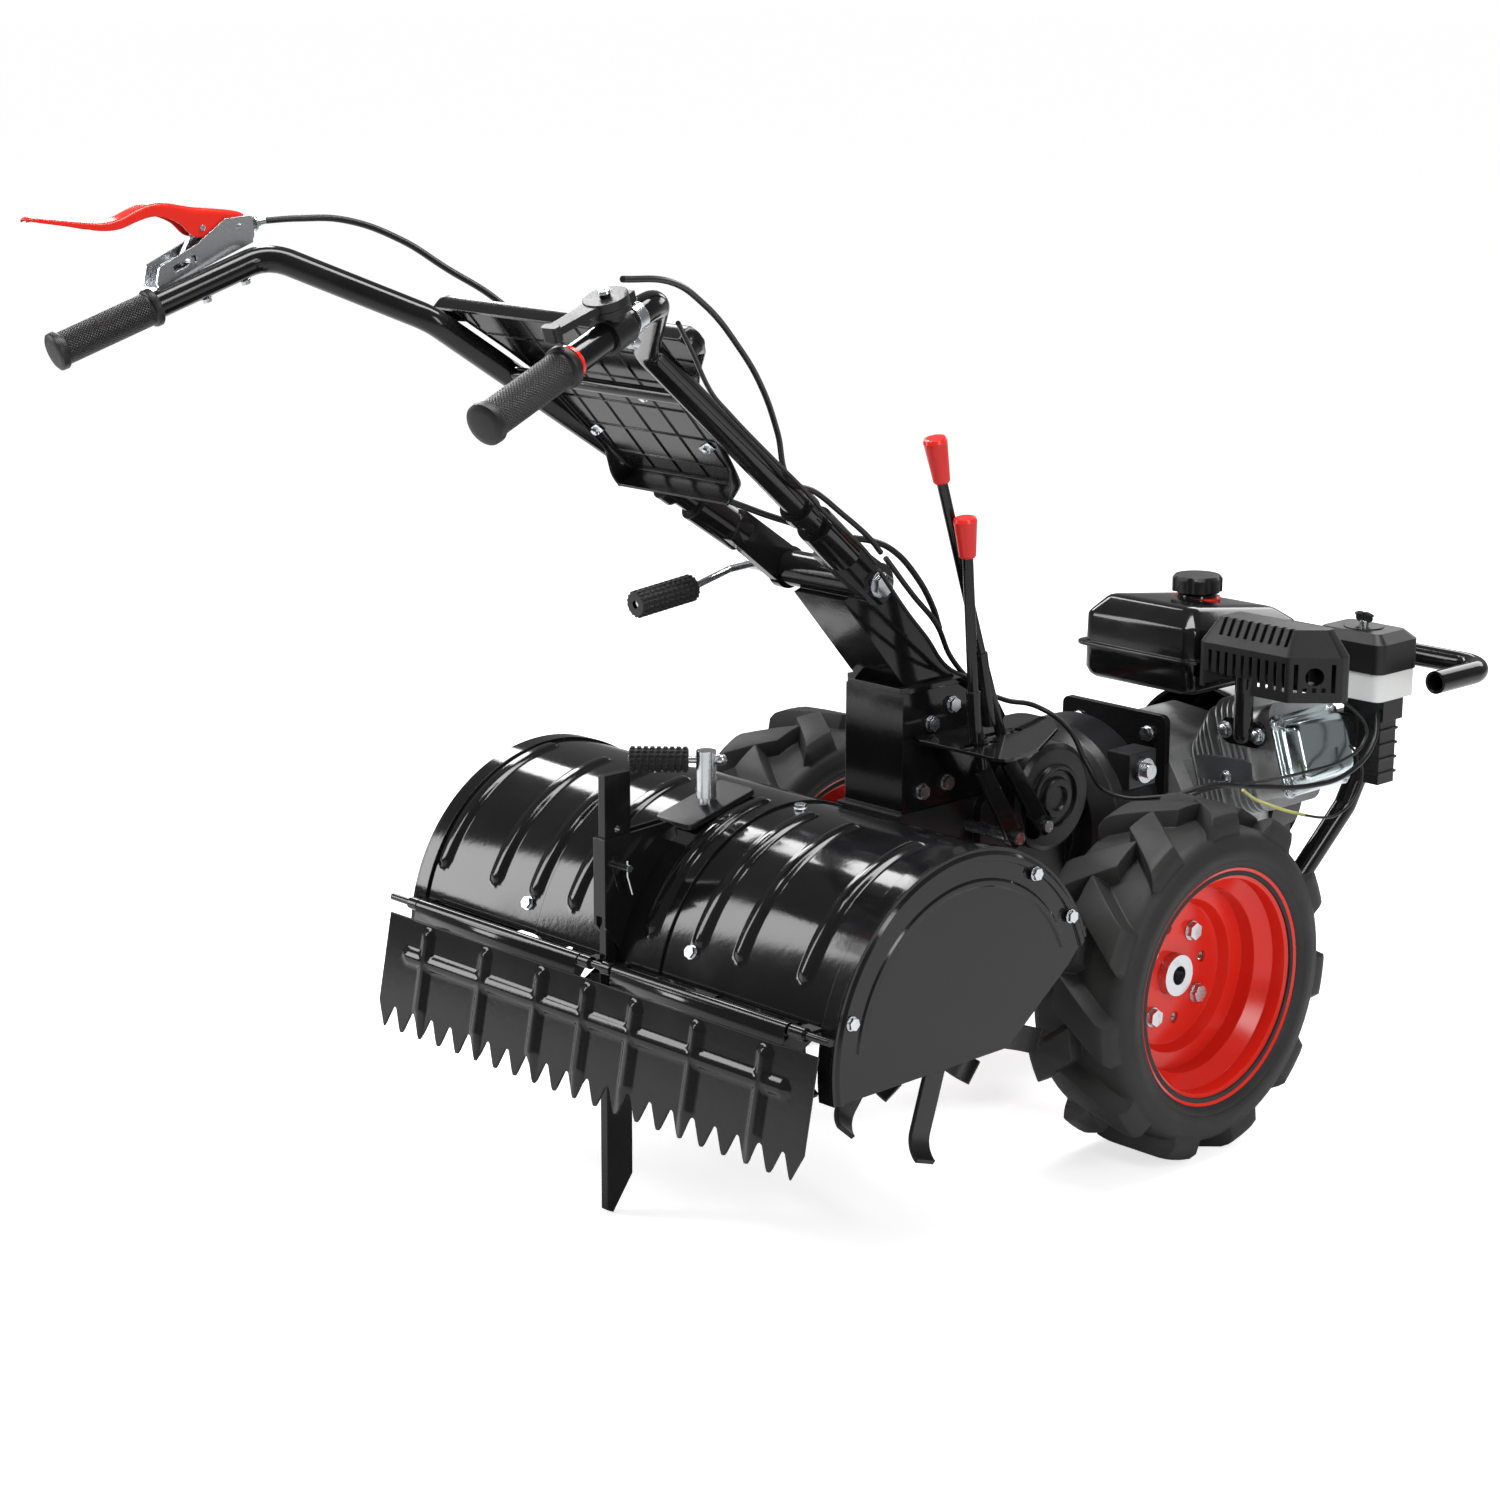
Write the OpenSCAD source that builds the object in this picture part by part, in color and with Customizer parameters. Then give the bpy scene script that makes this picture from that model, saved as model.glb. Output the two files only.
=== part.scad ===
// Two-wheel rear-tine tiller: engine in front, driven wheels, tine rotor under a hood, handlebars.
// X is the machine's right, Y is forwards and Z is up. Inside place() the wheel axle lies at Y = 0.

/* [Wheels] */
// Radius over the tyre lugs
tyre_r = 202; // [196:1:208]
// Width of each tyre
tyre_w = 124; // [116:1:128]
// Distance from the centre plane to the middle of each wheel
wheel_x = 290; // [286:1:296]
// Radius of the rim flange
rim_r = 138; // [132:1:142]
// Height of the tyre lugs above the tread
lug_h = 27; // [20:1:30]
// Tyre lugs on each side of the tread
lug_count = 11; // [9:1:13]
// Radius of the circle of wheel holes
wheel_pcr = 55; // [50:1:60]
// Radius of each wheel hole
wheel_hole_r = 6.5; // [5:0.5:7.5]
// Radius of the wheel axle
axle_r = 13; // [11:0.5:15]

/* [Hood and flap] */
// Outer radius of the hood
hood_r = 195; // [185:1:200]
// Half of the hood's width
hood_half_w = 335; // [325:1:336]
// Thickness of the hood sheet
sheet = 2.5; // [1.5:0.5:3]
// Distance from the axle back to the rotor
hood_y = -405; // [-410:1:-402]
// Height of the rotor centre
hood_z = 238; // [236:1:240]
// Pitch of the teeth on the flap
tooth_pitch = 33; // [28:1:38]
// Depth of the teeth on the flap
tooth_h = 27; // [18:1:32]
// Length of the flap below its hinge
flap_l = 146; // [130:1:150]

/* [Tine rotor] */
// Radius over the tine tips
rotor_r = 148; // [135:1:155]
// Radius of the rotor shaft
rotor_shaft_r = 14; // [12:0.5:16]
// Width of a tine blade
tine_w = 28; // [22:1:32]
// Thickness of a tine blade
tine_t = 5; // [4:0.5:7]

/* [Handlebars] */
// Outer diameter of the handlebar tubes
bar_d = 28; // [25:1:30]
// Wall of every tube
tube_wall = 2.5; // [1.5:0.5:3.5]
// Diameter of the hand grips
grip_d = 38; // [34:1:42]
// Length of the hand grips
grip_l = 120; // [110:1:125]
// Diameter of the cross tube that the handlebars turn on
pivot_tube_d = 40; // [36:1:46]
// Half the length of that cross tube
pivot_half_w = 62; // [58:1:64]

/* [Engine] */
// Height of the crankshaft
crank_z = 311; // [308:1:314]
// Angle of the cylinder above level
cylinder_tilt = 18; // [15:1:20]
// Number of cooling fins
fin_count = 5; // [4:1:6]
// Width of the fuel tank
tank_w = 180; // [170:1:184]
// Length of the fuel tank
tank_l = 216; // [205:1:220]

/* [Frame] */
// Diameter of the bumper tube
bumper_d = 28; // [25:1:32]
// Width of the depth stake
stake_w = 36; // [32:1:38]
// Thickness of the depth stake
stake_t = 10; // [8:1:12]

/* [Hidden] */
$fn = 48;

paint_black = "#1d1e20";
cast_black = "#26272a";
plastic_black = "#2b2c2e";
rubber_black = "#232425";
zinc = "#c3c8cc";
alloy = "#9ba0a3";
signal_red = "#d32a20";

run = 0.05;           // radial clearance of a turning pin or shaft
gap = 0.4;            // clearance between parts that move past each other
seat = 0.1;           // clearance between curved faces of fixed parts

// Wheels
axle_z = tyre_r;
case_half_w = 62;
hub_r = 24;
hub_x0 = 118;                       // inner end of the wheel hub sleeve
disc_x = wheel_x - 10;              // outer face of the wheel disc
disc_t = 5;
axle_end = disc_x - 34;             // the axle stops short of the open hub mouth
bolt_d = 12;
stud_r = 5;

// Overall length: clutch lever tip behind, bumper tube in front
lever_tip_y = -1069;
bumper_y = 590;
bumper_z = 468;
bumper_right = 291;
bumper_left = -170;
bumper_arm = 117;                   // how far the ends reach back
front_y = bumper_y + bumper_d / 2;
axle_y = -(lever_tip_y + front_y) / 2;

// Gear case and drive
case_rear = -85;
case_front = 66;
case_top = 430;
cover_y = 12;
cover_z = 369;
cover_r = 64;
cover_x = 92;
drum_r = 120;
drum_y0 = 77;
neck_r = 76;
plate_y = 222;
plate_t = 8;
plate_half_w = 82;
engine_y = plate_y + plate_t;       // mounting face of the engine
engine_base = 205;

// Mast and handlebar pivot
bracket_half_w = 45;
bracket_rear = -199;
bracket_front = -45;
bracket_z0 = 379;
bracket_z1 = 518;
plate_top = bracket_z1 + 6;
mast_half_w = 38;
mast_rear = -190;
mast_front = -108;
mast_lean = 132;                    // direction of the mast in the side plane
pivot_y = -272;
pivot_z = 657;
pivot_bolt_r = 7;
eye_t = 12;
eye_r = 24;
eye_x = pivot_half_w + gap;

// Route of the right handlebar tube; the left one is its mirror image
bar_low = [84, -352, 714];
bar_bend_a = [165, -693, 957];
bar_bend_b = [298, -800, 1021];
bar_end = [337, -1030, 937];
bar_bend_r = 46;

// Shift levers: lane, knob top, knob foot, gate, knee and pivot
lane_a = 100;
lane_b = 120;
knob_a = [[-214, 815], [-201, 764]];
stem_a = [[-133, 564], [-116, 479], [-84, 432], [-20, 344]];
knob_b = [[-185, 727], [-179, 681]];
stem_b = [[-166, 529], [-161, 470], [-149, 438], [-92, 347]];
gate_z = 462;
gate_t = 4;
lever_d = 12;
selector_r = 7;

// Engine
cyl_y = 333;
cyl_z = crank_z + 14;               // the barrel is set a little above the crankshaft
barrel_x0 = 94;
head_x0 = 140;
head_x1 = 222;
cover_x1 = 252;
fin_top = 82;
fin_foot = 62;
muffler_front = 304;
port_x = 185;
port_z = 35;
tank_wall = 2;
tank_x = 15;
tank_y = 240;
tank_z = 452;
tank_seam_z = 496;
cap_x = 3;
cap_y = 372;
cap_z = 553;
filter_x0 = 152;
filter_x1 = 262;
filter_y0 = 400;
filter_y1 = 480;

// Rotor and hood
hood_a0 = 20;                       // front end of the hood, as an angle above level
hood_a1 = 167;                      // rear end of the hood
lap_left = -125;
lap_right = 74;
tine_disc_x = [70, 150, 230, 300];
tine_case_half_w = 28;
hinge_y = -618;
hinge_z = 282;
hinge_r = 7;
rod_r = 4;
flap_lean = 11;
flap_half_w = 342;

// Depth stake
stake_x = 2;
stake_y = -593;
stake_top = 488;
pin_z = 388;
pin_r = 4;

// Depth post with its grip, on a plate that lies along the slope of the hood
post_y = -459;
post_r = 11;
post_h = 52;
post_z = 437;
post_plate_t = 6;
post_grip_z = post_z + 42;
post_grip_angle = 225;

// Routes of the control cables; each crosses the handlebar pivot with a short free gap
cable_r = 3;
handle_routes = [
    [[316, -856, 1046], [300, -786, 1038], [270, -716, 1011], [225, -627, 959], [190, -562, 911],
        [152, -502, 854], [130, -464, 800], [120, -415, 780], [118, -376, 754], [114, -330, 722],
        [104, -300, 700]],
    [[304, -778, 1000], [268, -726, 964], [238, -676, 922], [208, -624, 893], [156, -508, 826],
        [136, -450, 790], [126, -400, 752], [116, -350, 720], [106, -310, 690]],
    [[-333, -796, 1046], [-322, -744, 1053], [-300, -698, 1050], [-262, -656, 1030],
        [-222, -625, 1000], [-180, -595, 970], [-150, -575, 938], [-80, -535, 872],
        [-20, -478, 800], [20, -456, 768], [36, -430, 754], [48, -390, 738], [52, -306, 712]]];
frame_routes = [
    [[102, -290, 692], [92, -235, 642], [84, -190, 604], [64, -140, 552], [58, -90, 512],
        [56, -40, 488], [66, 6, 474], [96, 26, 450], [124, 28, 412], [142, 44, 380], [190, 84, 376],
        [218, 141, 385], [236, 202, 376], [262, 270, 370], [268, 340, 376], [262, 395, 404],
        [248, 418, 434]],
    [[102, -300, 680], [92, -246, 626], [84, -205, 590], [66, -150, 545], [60, -98, 520],
        [53, -60, 496], [40, -22, 460], [36, 0, 434.5]],
    [[52, -288, 707], [54, -262, 701], [52, -227, 686], [50, -189, 654], [42, -150, 610],
        [34, -130, 582]]];

// ---------- helpers ----------
module place() translate([0, axle_y, 0]) children();

// Draws a flat shape in the YZ plane and gives it thickness from x0 to x1
module side(x0, x1) translate([x0, 0, 0]) rotate([90, 0, 90]) linear_extrude(x1 - x0) children();

// Draws a flat shape in the XZ plane and gives it thickness from y0 to y1
module front(y0, y1) translate([0, y1, 0]) rotate([90, 0, 0]) linear_extrude(y1 - y0) children();

module both_sides() {
    children();
    mirror([1, 0, 0]) children();
}

module x_rod(x0, x1, y, z, r) translate([x0, y, z]) rotate([0, 90, 0]) cylinder(r=r, h=x1 - x0);

module y_rod(y0, y1, x, z, r) translate([x, y0, z]) rotate([-90, 0, 0]) cylinder(r=r, h=y1 - y0);

function unit(v) = v / norm(v);

// Puts the local Z axis along direction v
module along(v) {
    n = unit(v);
    rotate([0, acos(n[2]), atan2(n[1], n[0])]) children();
}

module rod(a, b, r) translate(a) along(b - a) cylinder(r=r, h=norm(b - a));

module rounded_rect(w, h, r) {
    square([w - 2 * r, h], center=true);
    square([w, h - 2 * r], center=true);
    for (sx = [-1, 1], sy = [-1, 1]) translate([sx * (w / 2 - r), sy * (h / 2 - r)]) circle(r);
}

module slot(w, h) {
    square([w, h - w], center=true);
    for (s = [-1, 1]) translate([0, s * (h - w) / 2]) circle(w / 2);
}

// Corner rounding for outlines: each corner becomes an arc of radius r
function rounded(p, r, n=4) = [for (i = [0:len(p) - 1])
    let (a = p[(i + len(p) - 1) % len(p)], b = p[i], c = p[(i + 1) % len(p)],
        u = unit(a - b), v = unit(c - b), half = acos(min(1, max(-1, u * v))) / 2,
        t = r / tan(half), o = b + unit(u + v) * r / sin(half),
        p0 = b + u * t - o, turn = (u[0] * v[1] - u[1] * v[0] > 0 ? -1 : 1) * (180 - 2 * half))
    for (k = [0:n]) let (w = turn * k / n)
        o + [p0[0] * cos(w) - p0[1] * sin(w), p0[0] * sin(w) + p0[1] * cos(w)]];

// Rigid frame with its origin at o and its axes along x, y and z
module frame_at(o, x, y, z)
    multmatrix([[x[0], y[0], z[0], o[0]], [x[1], y[1], z[1], o[1]], [x[2], y[2], z[2], o[2]],
        [0, 0, 0, 1]]) children();

module ring(ro, ri) difference() {
    circle(ro);
    if (ri > 0) circle(ri);
}

// Points of the path p with each inner corner rounded to radius r in n steps
function bend_path(p, r, n=4) = [p[0], for (i = [1:len(p) - 2])
    let (u = unit(p[i] - p[i - 1]), v = unit(p[i + 1] - p[i]), turn = acos(u * v),
        start = p[i] - u * r * tan(turn / 2), inward = unit(v - u * (u * v)))
    for (k = [0:n]) start + u * r * sin(turn * k / n) + inward * r * (1 - cos(turn * k / n)),
    p[len(p) - 1]];

// A round tube, or a solid rod where ri is 0, swept along the points q
module sweep(q, ro, ri, sides) {
    n = len(q);
    tangents = [for (i = [0:n - 1]) unit(q[min(n - 1, i + 1)] - q[max(0, i - 1)])];
    function ring_at(i, r) = let (s = unit(cross(tangents[i], [0.31, 0.17, 0.93])),
        t = cross(tangents[i], s)) [for (k = [0:sides - 1])
        q[i] + r * (cos(360 * (k + 0.5) / sides) * s + sin(360 * (k + 0.5) / sides) * t)];
    outer = [for (i = [0:n - 1]) each ring_at(i, ro)];
    inner = ri > 0 ? [for (i = [0:n - 1]) each ring_at(i, ri)] : [];
    m = n * sides;
    walls = [for (i = [0:n - 2], k = [0:sides - 1])
        let (a = i * sides + k, b = i * sides + (k + 1) % sides)
        each [[a, a + sides, b], [b, a + sides, b + sides]]];
    bore = ri > 0 ? [for (f = walls) [f[0] + m, f[2] + m, f[1] + m]] : [];
    caps = ri > 0 ? [for (k = [0:sides - 1]) let (b = (k + 1) % sides, z = (n - 1) * sides)
        each [[k, b, b + m], [k, b + m, k + m], [z + k, z + b + m, z + b], [z + k, z + k + m, z + b + m]]]
        : [[for (k = [0:sides - 1]) k], [for (k = [sides - 1:-1:0]) (n - 1) * sides + k]];
    polyhedron(concat(outer, inner), concat(walls, bore, caps), convexity=6);
}

// A bent tube through the points p, with bends of radius r
module bent_tube(p, r, ro, ri, sides=16) sweep(bend_path(p, r), ro, ri, sides);

// Hexagon-headed flange bolt: the head stands on the plane z = 0 and the shank goes below it
module hex_bolt(d, shank, r=0) {
    cylinder(r=0.95 * d, h=0.18 * d);
    cylinder(r=0.86 * d, h=0.72 * d, $fn=6);
    translate([0, 0, -shank]) cylinder(r=r > 0 ? r : d / 2, h=shank);
}

// A cord along a smooth curve through the points p
function spline(p, steps) = [for (i = [0:len(p) - 2]) for (k = [0:steps - 1])
    let (a = p[max(0, i - 1)], b = p[i], c = p[i + 1], d = p[min(len(p) - 1, i + 2)], t = k / steps)
    0.5 * (2 * b + (c - a) * t + (2 * a - 5 * b + 4 * c - d) * t * t
        + (3 * b - a - 3 * c + d) * t * t * t), p[len(p) - 1]];

module cord(p, r) sweep(spline(p, 3), r, 0, 8);

// ---------- wheels ----------
module axle() {
    color(zinc) {
        x_rod(-axle_end, axle_end, 0, axle_z, axle_r);
        both_sides() difference() {
            union() {
                x_rod(hub_x0, disc_x + 12, 0, axle_z, hub_r);
                x_rod(disc_x - disc_t - 8, disc_x - disc_t, 0, axle_z, wheel_pcr + 14);
            }
            x_rod(axle_end, disc_x + 13, 0, axle_z, axle_r - 2);
            wheel_holes();
        }
    }
}

// Every second hole is free, the others hold the wheel bolts
module wheel_holes() for (i = [0:7])
    translate([disc_x - 40, 0, axle_z]) rotate([i * 45 + 9, 0, 0]) translate([0, wheel_pcr, 0])
        rotate([0, 90, 0]) cylinder(r=i % 2 == 0 ? wheel_hole_r : stud_r + run, h=60);

// Section of the rim: dished disc, drop-centre well, bead seats and rolled flanges
module rim_profile() {
    t = 3.5;
    seat_r = rim_r - 11;
    well_r = seat_r - 16;
    o = disc_x - wheel_x;
    w = tyre_w / 2 - 7;
    // disc, dished once, then welded to the well
    polygon([[hub_r + seat, o - disc_t], [86, o - disc_t], [92, o + 8], [well_r - t, o + 10],
        [well_r - t, o + 10 + disc_t], [89, o + 8 + disc_t], [83, o], [hub_r + seat, o]]);
    // well, bead seats and flanges
    polygon([[well_r - t, -16], [seat_r - t, -32], [seat_r - t, -w], [rim_r, -w - 2 * t],
        [rim_r, -w - t], [seat_r, -w + t], [seat_r, -30], [well_r, -14], [well_r, 22], [seat_r, 36],
        [seat_r, w - t], [rim_r, w + t], [rim_r, w + 2 * t], [seat_r - t, w], [seat_r - t, 38],
        [well_r - t, 24]]);
}

module rim_body() difference() {
    translate([wheel_x, 0, axle_z]) rotate([0, 90, 0]) rotate_extrude($fn=72) rim_profile();
    wheel_holes();
}

module rim_right() color(signal_red) rim_body();
module rim_left() color(signal_red) mirror([1, 0, 0]) rim_body();

// Point of the tyre casing's section at angle a
function casing_side(r, z, a) = [r + z * sign(sin(a)) * pow(abs(sin(a)), 0.7),
    (tyre_w / 2) * sign(cos(a)) * pow(abs(cos(a)), 0.35)];

module tyre_body() {
    tread_r = tyre_r - lug_h;
    inner_r = rim_r - 10.5;
    mid = (tread_r + inner_r) / 2;
    deep = (tread_r - inner_r) / 2;
    wall = 9;
    translate([wheel_x, 0, axle_z]) rotate([0, 90, 0]) {
        difference() {
            rotate_extrude($fn=72) polygon([for (a = [0:15:345]) casing_side(mid, deep, a)]);
            rotate_extrude($fn=72) translate([inner_r - 1, -tyre_w / 2 + wall + 6])
                square([tread_r - inner_r - wall, tyre_w - 2 * wall - 12]);
            rotate_extrude($fn=72) for (s = [-1, 1]) translate([inner_r - 1, s * (tyre_w / 2 - 3) - 11])
                square([rim_r - inner_r + 1 + seat, 22]);
        }
        intersection() {
            rotate_extrude($fn=72) lug_envelope();
            for (s = [-1, 1], i = [0:lug_count - 1])
                rotate([0, 0, (i + (s > 0 ? 0.25 : 0.75)) * 360 / lug_count])
                    mirror([0, 0, s < 0 ? 1 : 0]) lug_bar();
        }
    }
}

module lug_envelope() {
    h = tyre_w / 2 - 0.5;
    polygon([[tyre_r - lug_h - 4, -h], [tyre_r - 14, -h], [tyre_r - 3, -h + 5], [tyre_r, -h + 14],
        [tyre_r, h - 14], [tyre_r - 3, h - 5], [tyre_r - 14, h], [tyre_r - lug_h - 4, h]]);
}

// A slanted bar with sloping flanks, from the centre line of the tread out past the shoulder
module lug_bar() translate([0, -24, -12]) rotate([-36, 0, 0]) linear_extrude(120)
    polygon([[tyre_r - lug_h - 6, -24], [tyre_r + 4, -13], [tyre_r + 4, 13], [tyre_r - lug_h - 6, 24]]);

module tyre_right() color(rubber_black) tyre_body();
module tyre_left() color(rubber_black) mirror([1, 0, 0]) tyre_body();

module wheel_bolts() color(zinc) both_sides() for (i = [0:3])
    translate([disc_x + seat, 0, axle_z]) rotate([i * 90 + 9 + 45, 0, 0]) translate([0, wheel_pcr, 0])
        rotate([0, 90, 0]) hex_bolt(bolt_d, disc_t + 8, stud_r);

// ---------- gear case and drive ----------
module gear_case() color(cast_black) difference() {
    union() {
        x_rod(-case_half_w - 30, case_half_w + 30, 0, axle_z, 42);
        x_rod(-case_half_w, case_half_w, 0, axle_z, 66);
        side(-case_half_w, case_half_w) polygon(rounded([[case_rear, axle_z - 20],
            [case_front, axle_z - 20], [case_front, bracket_z0 - seat], [case_rear, bracket_z0 - seat]], 16));
        side(-case_half_w, case_half_w) polygon(rounded([[bracket_front + 7, axle_z],
            [case_front, axle_z], [case_front, case_top - 30], [case_front - 40, case_top],
            [bracket_front + 7, case_top]], 10));
        side(-50, 50) polygon([[bracket_rear - 8, bracket_z0 - 44], [case_rear + 2, axle_z + 40],
            [case_rear + 50, axle_z + 60], [bracket_front, bracket_z0 - seat],
            [bracket_rear - 8, bracket_z0 - seat]]);
        x_rod(bracket_half_w + 1, cover_x - 16, cover_y, cover_z, cover_r);
        x_rod(-case_half_w, -bracket_half_w - 1, cover_y, cover_z, cover_r);
        y_rod(case_front - 1, drum_y0, 0, crank_z, 74);
    }
    x_rod(-200, 200, 0, axle_z, axle_r + run);
    x_rod(case_half_w - 18, 200, stem_a[3][0], stem_a[3][1], selector_r + seat);
    x_rod(case_half_w - 18, 200, stem_b[3][0], stem_b[3][1], selector_r + seat);
}

// Round cover with raised rings, on the side of the gear case
module clutch_cover() color(cast_black) difference() {
    translate([cover_x - 16, cover_y, cover_z]) rotate([0, 90, 0]) rotate_extrude($fn=64)
        polygon([[0, 0], [cover_r, 0], [cover_r, 8], [cover_r - 6, 13], [40, 13], [38, 18], [34, 18],
            [32, 14], [25, 14], [23, 20], [15, 20], [13, 16], [0, 16]]);
    x_rod(cover_x - 20, cover_x + 20, stem_a[3][0], stem_a[3][1], selector_r + 12);
}

module drive_housing() color(cast_black) {
    difference() {
        translate([0, drum_y0, crank_z]) rotate([-90, 0, 0]) rotate_extrude($fn=72)
            polygon([[0, 0], [94, 0], [drum_r - 4, 22], [drum_r, 34], [drum_r, 83], [drum_r - 8, 90],
                [neck_r, 90], [neck_r, plate_y - drum_y0], [neck_r - 8, plate_y - drum_y0], [neck_r - 8, 80],
                [drum_r - 10, 76], [drum_r - 10, 40], [84, 12], [0, 12]]);
        x_rod(60, 140, 136, 386, 6);
    }
    // mounting lug for the side bolt
    difference() {
        translate([84, 112, 366]) cube([34, 48, 42]);
        translate([0, drum_y0 + 13, crank_z]) rotate([-90, 0, 0])
            cylinder(r=drum_r - 5, h=plate_y - drum_y0, $fn=72);
        x_rod(60, 140, 136, 386, 6);
    }
}

module engine_mount() color(paint_black) {
    difference() {
        front(plate_y, engine_y) translate([0, crank_z]) rounded_rect(2 * plate_half_w, 238, 10);
        y_rod(plate_y - 1, engine_y + 1, 0, crank_z, 36);
        for (sx = [-1, 1], sz = [-1, 1]) y_rod(plate_y - 1, engine_y + 1, sx * 55, crank_z + sz * 94, 5 + run);
    }
    // two rails under the engine, tied to the plate
    both_sides() side(84, 112) polygon([[plate_y, 192], [455, 192], [455, engine_base - 2 * seat],
        [engine_y - 0.2, engine_base - 2 * seat], [engine_y - 0.2, 250], [plate_y, 250]]);
    both_sides() translate([70, plate_y, 192]) cube([18, plate_t - 0.2, 58]);
}

module bumper() color(paint_black) {
    bent_tube([[bumper_left, bumper_y - bumper_arm, bumper_z], [bumper_left, bumper_y, bumper_z],
        [bumper_right, bumper_y, bumper_z], [bumper_right, bumper_y - bumper_arm, bumper_z]],
        42, bumper_d / 2, bumper_d / 2 - tube_wall);
    both_sides() difference() {
        bent_tube([[99, 420, 178], [99, 470, 178], [116, 545, 268], [130, 606, 400],
            [130, bumper_y, bumper_z]], 24, bumper_d / 2, bumper_d / 2 - tube_wall);
        x_rod(-400, 400, bumper_y, bumper_z, bumper_d / 2);
    }
}

// ---------- mast ----------
module mast_bracket() color(paint_black) {
    w = bracket_half_w;
    difference() {
        union() {
            both_sides() side(w - 5, w) polygon([[bracket_rear, bracket_z0], [bracket_front, bracket_z0],
                [bracket_front, bracket_z0 + 30], [bracket_front - 40, bracket_z1], [bracket_rear, bracket_z1]]);
            front(bracket_rear, bracket_rear + 5) translate([-w + 5, bracket_z0])
                square([2 * w - 10, bracket_z1 - bracket_z0]);
            translate([-w, bracket_rear, bracket_z0]) cube([2 * w, bracket_front - bracket_rear, 5]);
        }
        for (p = frame_bolt_spots) x_rod(-w - 1, w + 1, p[0], p[1], 5 + run);
    }
    translate([0, 0, bracket_z1]) linear_extrude(6) polygon(rounded([[-w - 12, bracket_rear + 14],
        [-w + 6, bracket_rear - 4], [w, bracket_rear - 4], [w + 4, bracket_rear + 6], [w + 4, bracket_front - 42],
        [-w - 4, bracket_front - 42]], 3));
}

frame_bolt_spots = [[-154, 477], [-119, 494], [-168, 400], [-127, 404]];

function mast_point(y, t) = [y + t * cos(mast_lean), plate_top + t * sin(mast_lean)];

module mast() color(paint_black) {
    top = 178;
    w = mast_half_w;
    difference() {
        side(-w, w) polygon([mast_point(mast_rear, 0), mast_point(mast_front, 0),
            mast_point(mast_front, top), mast_point(mast_rear, top - 28)]);
        side(-w + 4, w - 4) polygon([mast_point(mast_rear + 5.4, -1), mast_point(mast_front - 5.4, -1),
            mast_point(mast_front - 5.4, top - 34), mast_point(mast_rear + 5.4, top - 44)]);
        x_rod(-w - 1, w + 1, pivot_y, pivot_z, pivot_tube_d / 2 - 1);
    }
    difference() {
        x_rod(-pivot_half_w, pivot_half_w, pivot_y, pivot_z, pivot_tube_d / 2);
        x_rod(-pivot_half_w - 1, pivot_half_w + 1, pivot_y, pivot_z, pivot_bolt_r);
    }
}

module gate_plate() color(paint_black) difference() {
    translate([0, 0, gate_z]) linear_extrude(gate_t) difference() {
        polygon(rounded([[bracket_half_w + seat, -187], [190, -187], [178, -120], [128, -30], [96, 0],
            [bracket_half_w + seat, 0]], 14));
        translate([lane_a, -104]) slot(17, 82);
        translate([lane_b, -155]) slot(17, 56);
    }
}

module shift_lever(lane, knob, stem) {
    pin = stem[3];
    knee = stem[2];
    top = knob[1] + (knob[0] - knob[1]) * 0.66;
    difference() {
        union() {
            bent_tube([[lane, top[0], top[1]], [lane, knob[1][0], knob[1][1]],
                [lane, stem[0][0], stem[0][1]], [lane, knee[0], knee[1]]], 8, lever_d / 2, 0);
            rod([lane, stem[0][0], stem[0][1]], [lane, stem[1][0], stem[1][1]], lever_d / 2 + 2);
            side(lane - 3, lane + 3) {
                polygon([knee + [8, 6], pin + [9, 6], pin - [9, 6], knee - [8, 6]]);
                translate(pin) circle(11);
            }
            x_rod(lane - 5, lane + 5, pin[0], pin[1], 12);
        }
        x_rod(lane - 20, lane + 20, pin[0], pin[1], selector_r + run);
    }
}

module shift_knob(lane, knob) {
    top = [lane, knob[0][0], knob[0][1]];
    foot = [lane, knob[1][0], knob[1][1]];
    l = norm(top - foot);
    translate(foot) along(top - foot) difference() {
        rotate_extrude() polygon([[0, 0], [8, 0], [9.5, 2], [13, l - 8], [13.5, l - 5], [12, l - 1],
            [9, l], [0, l]]);
        translate([0, 0, -1]) cylinder(r=lever_d / 2 + seat, h=l * 0.7 + 1);
    }
}

module shift_lever_a() color(paint_black) shift_lever(lane_a, knob_a, stem_a);
module shift_lever_b() color(paint_black) shift_lever(lane_b, knob_b, stem_b);
module shift_knob_a() color(signal_red) shift_knob(lane_a, knob_a);
module shift_knob_b() color(signal_red) shift_knob(lane_b, knob_b);

// ---------- engine ----------
module cylinder_frame() translate([0, cyl_y, cyl_z]) rotate([0, -cylinder_tilt, 0]) children();

module crankcase() color(alloy) difference() {
    union() {
        front(engine_y, 396) polygon(rounded([[-100, engine_base], [104, engine_base], [112, 250],
            [104, 340], [70, 392], [-50, 402], [-104, 350], [-112, 260]], 18));
        front(engine_y + 10, 395) translate([-118, engine_base]) square([236, 12]);
    }
    cylinder_frame() translate([barrel_x0, -80, -80]) cube([60, 160, 180]);
}

// Finned barrel: fins stand square to the cylinder's own axis
module cylinder_barrel() color(alloy) cylinder_frame() {
    translate([barrel_x0 + seat, 0, 0]) rotate([0, 90, 0]) linear_extrude(head_x0 - 8 - barrel_x0 - 2 * seat)
        rounded_rect(84, 100, 12);
    for (i = [0:fin_count - 1]) fin(barrel_x0 + 2 + i * (head_x0 - barrel_x0 - 14) / (fin_count - 1),
        fin_top - 8 * (fin_count - i));
}

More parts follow.
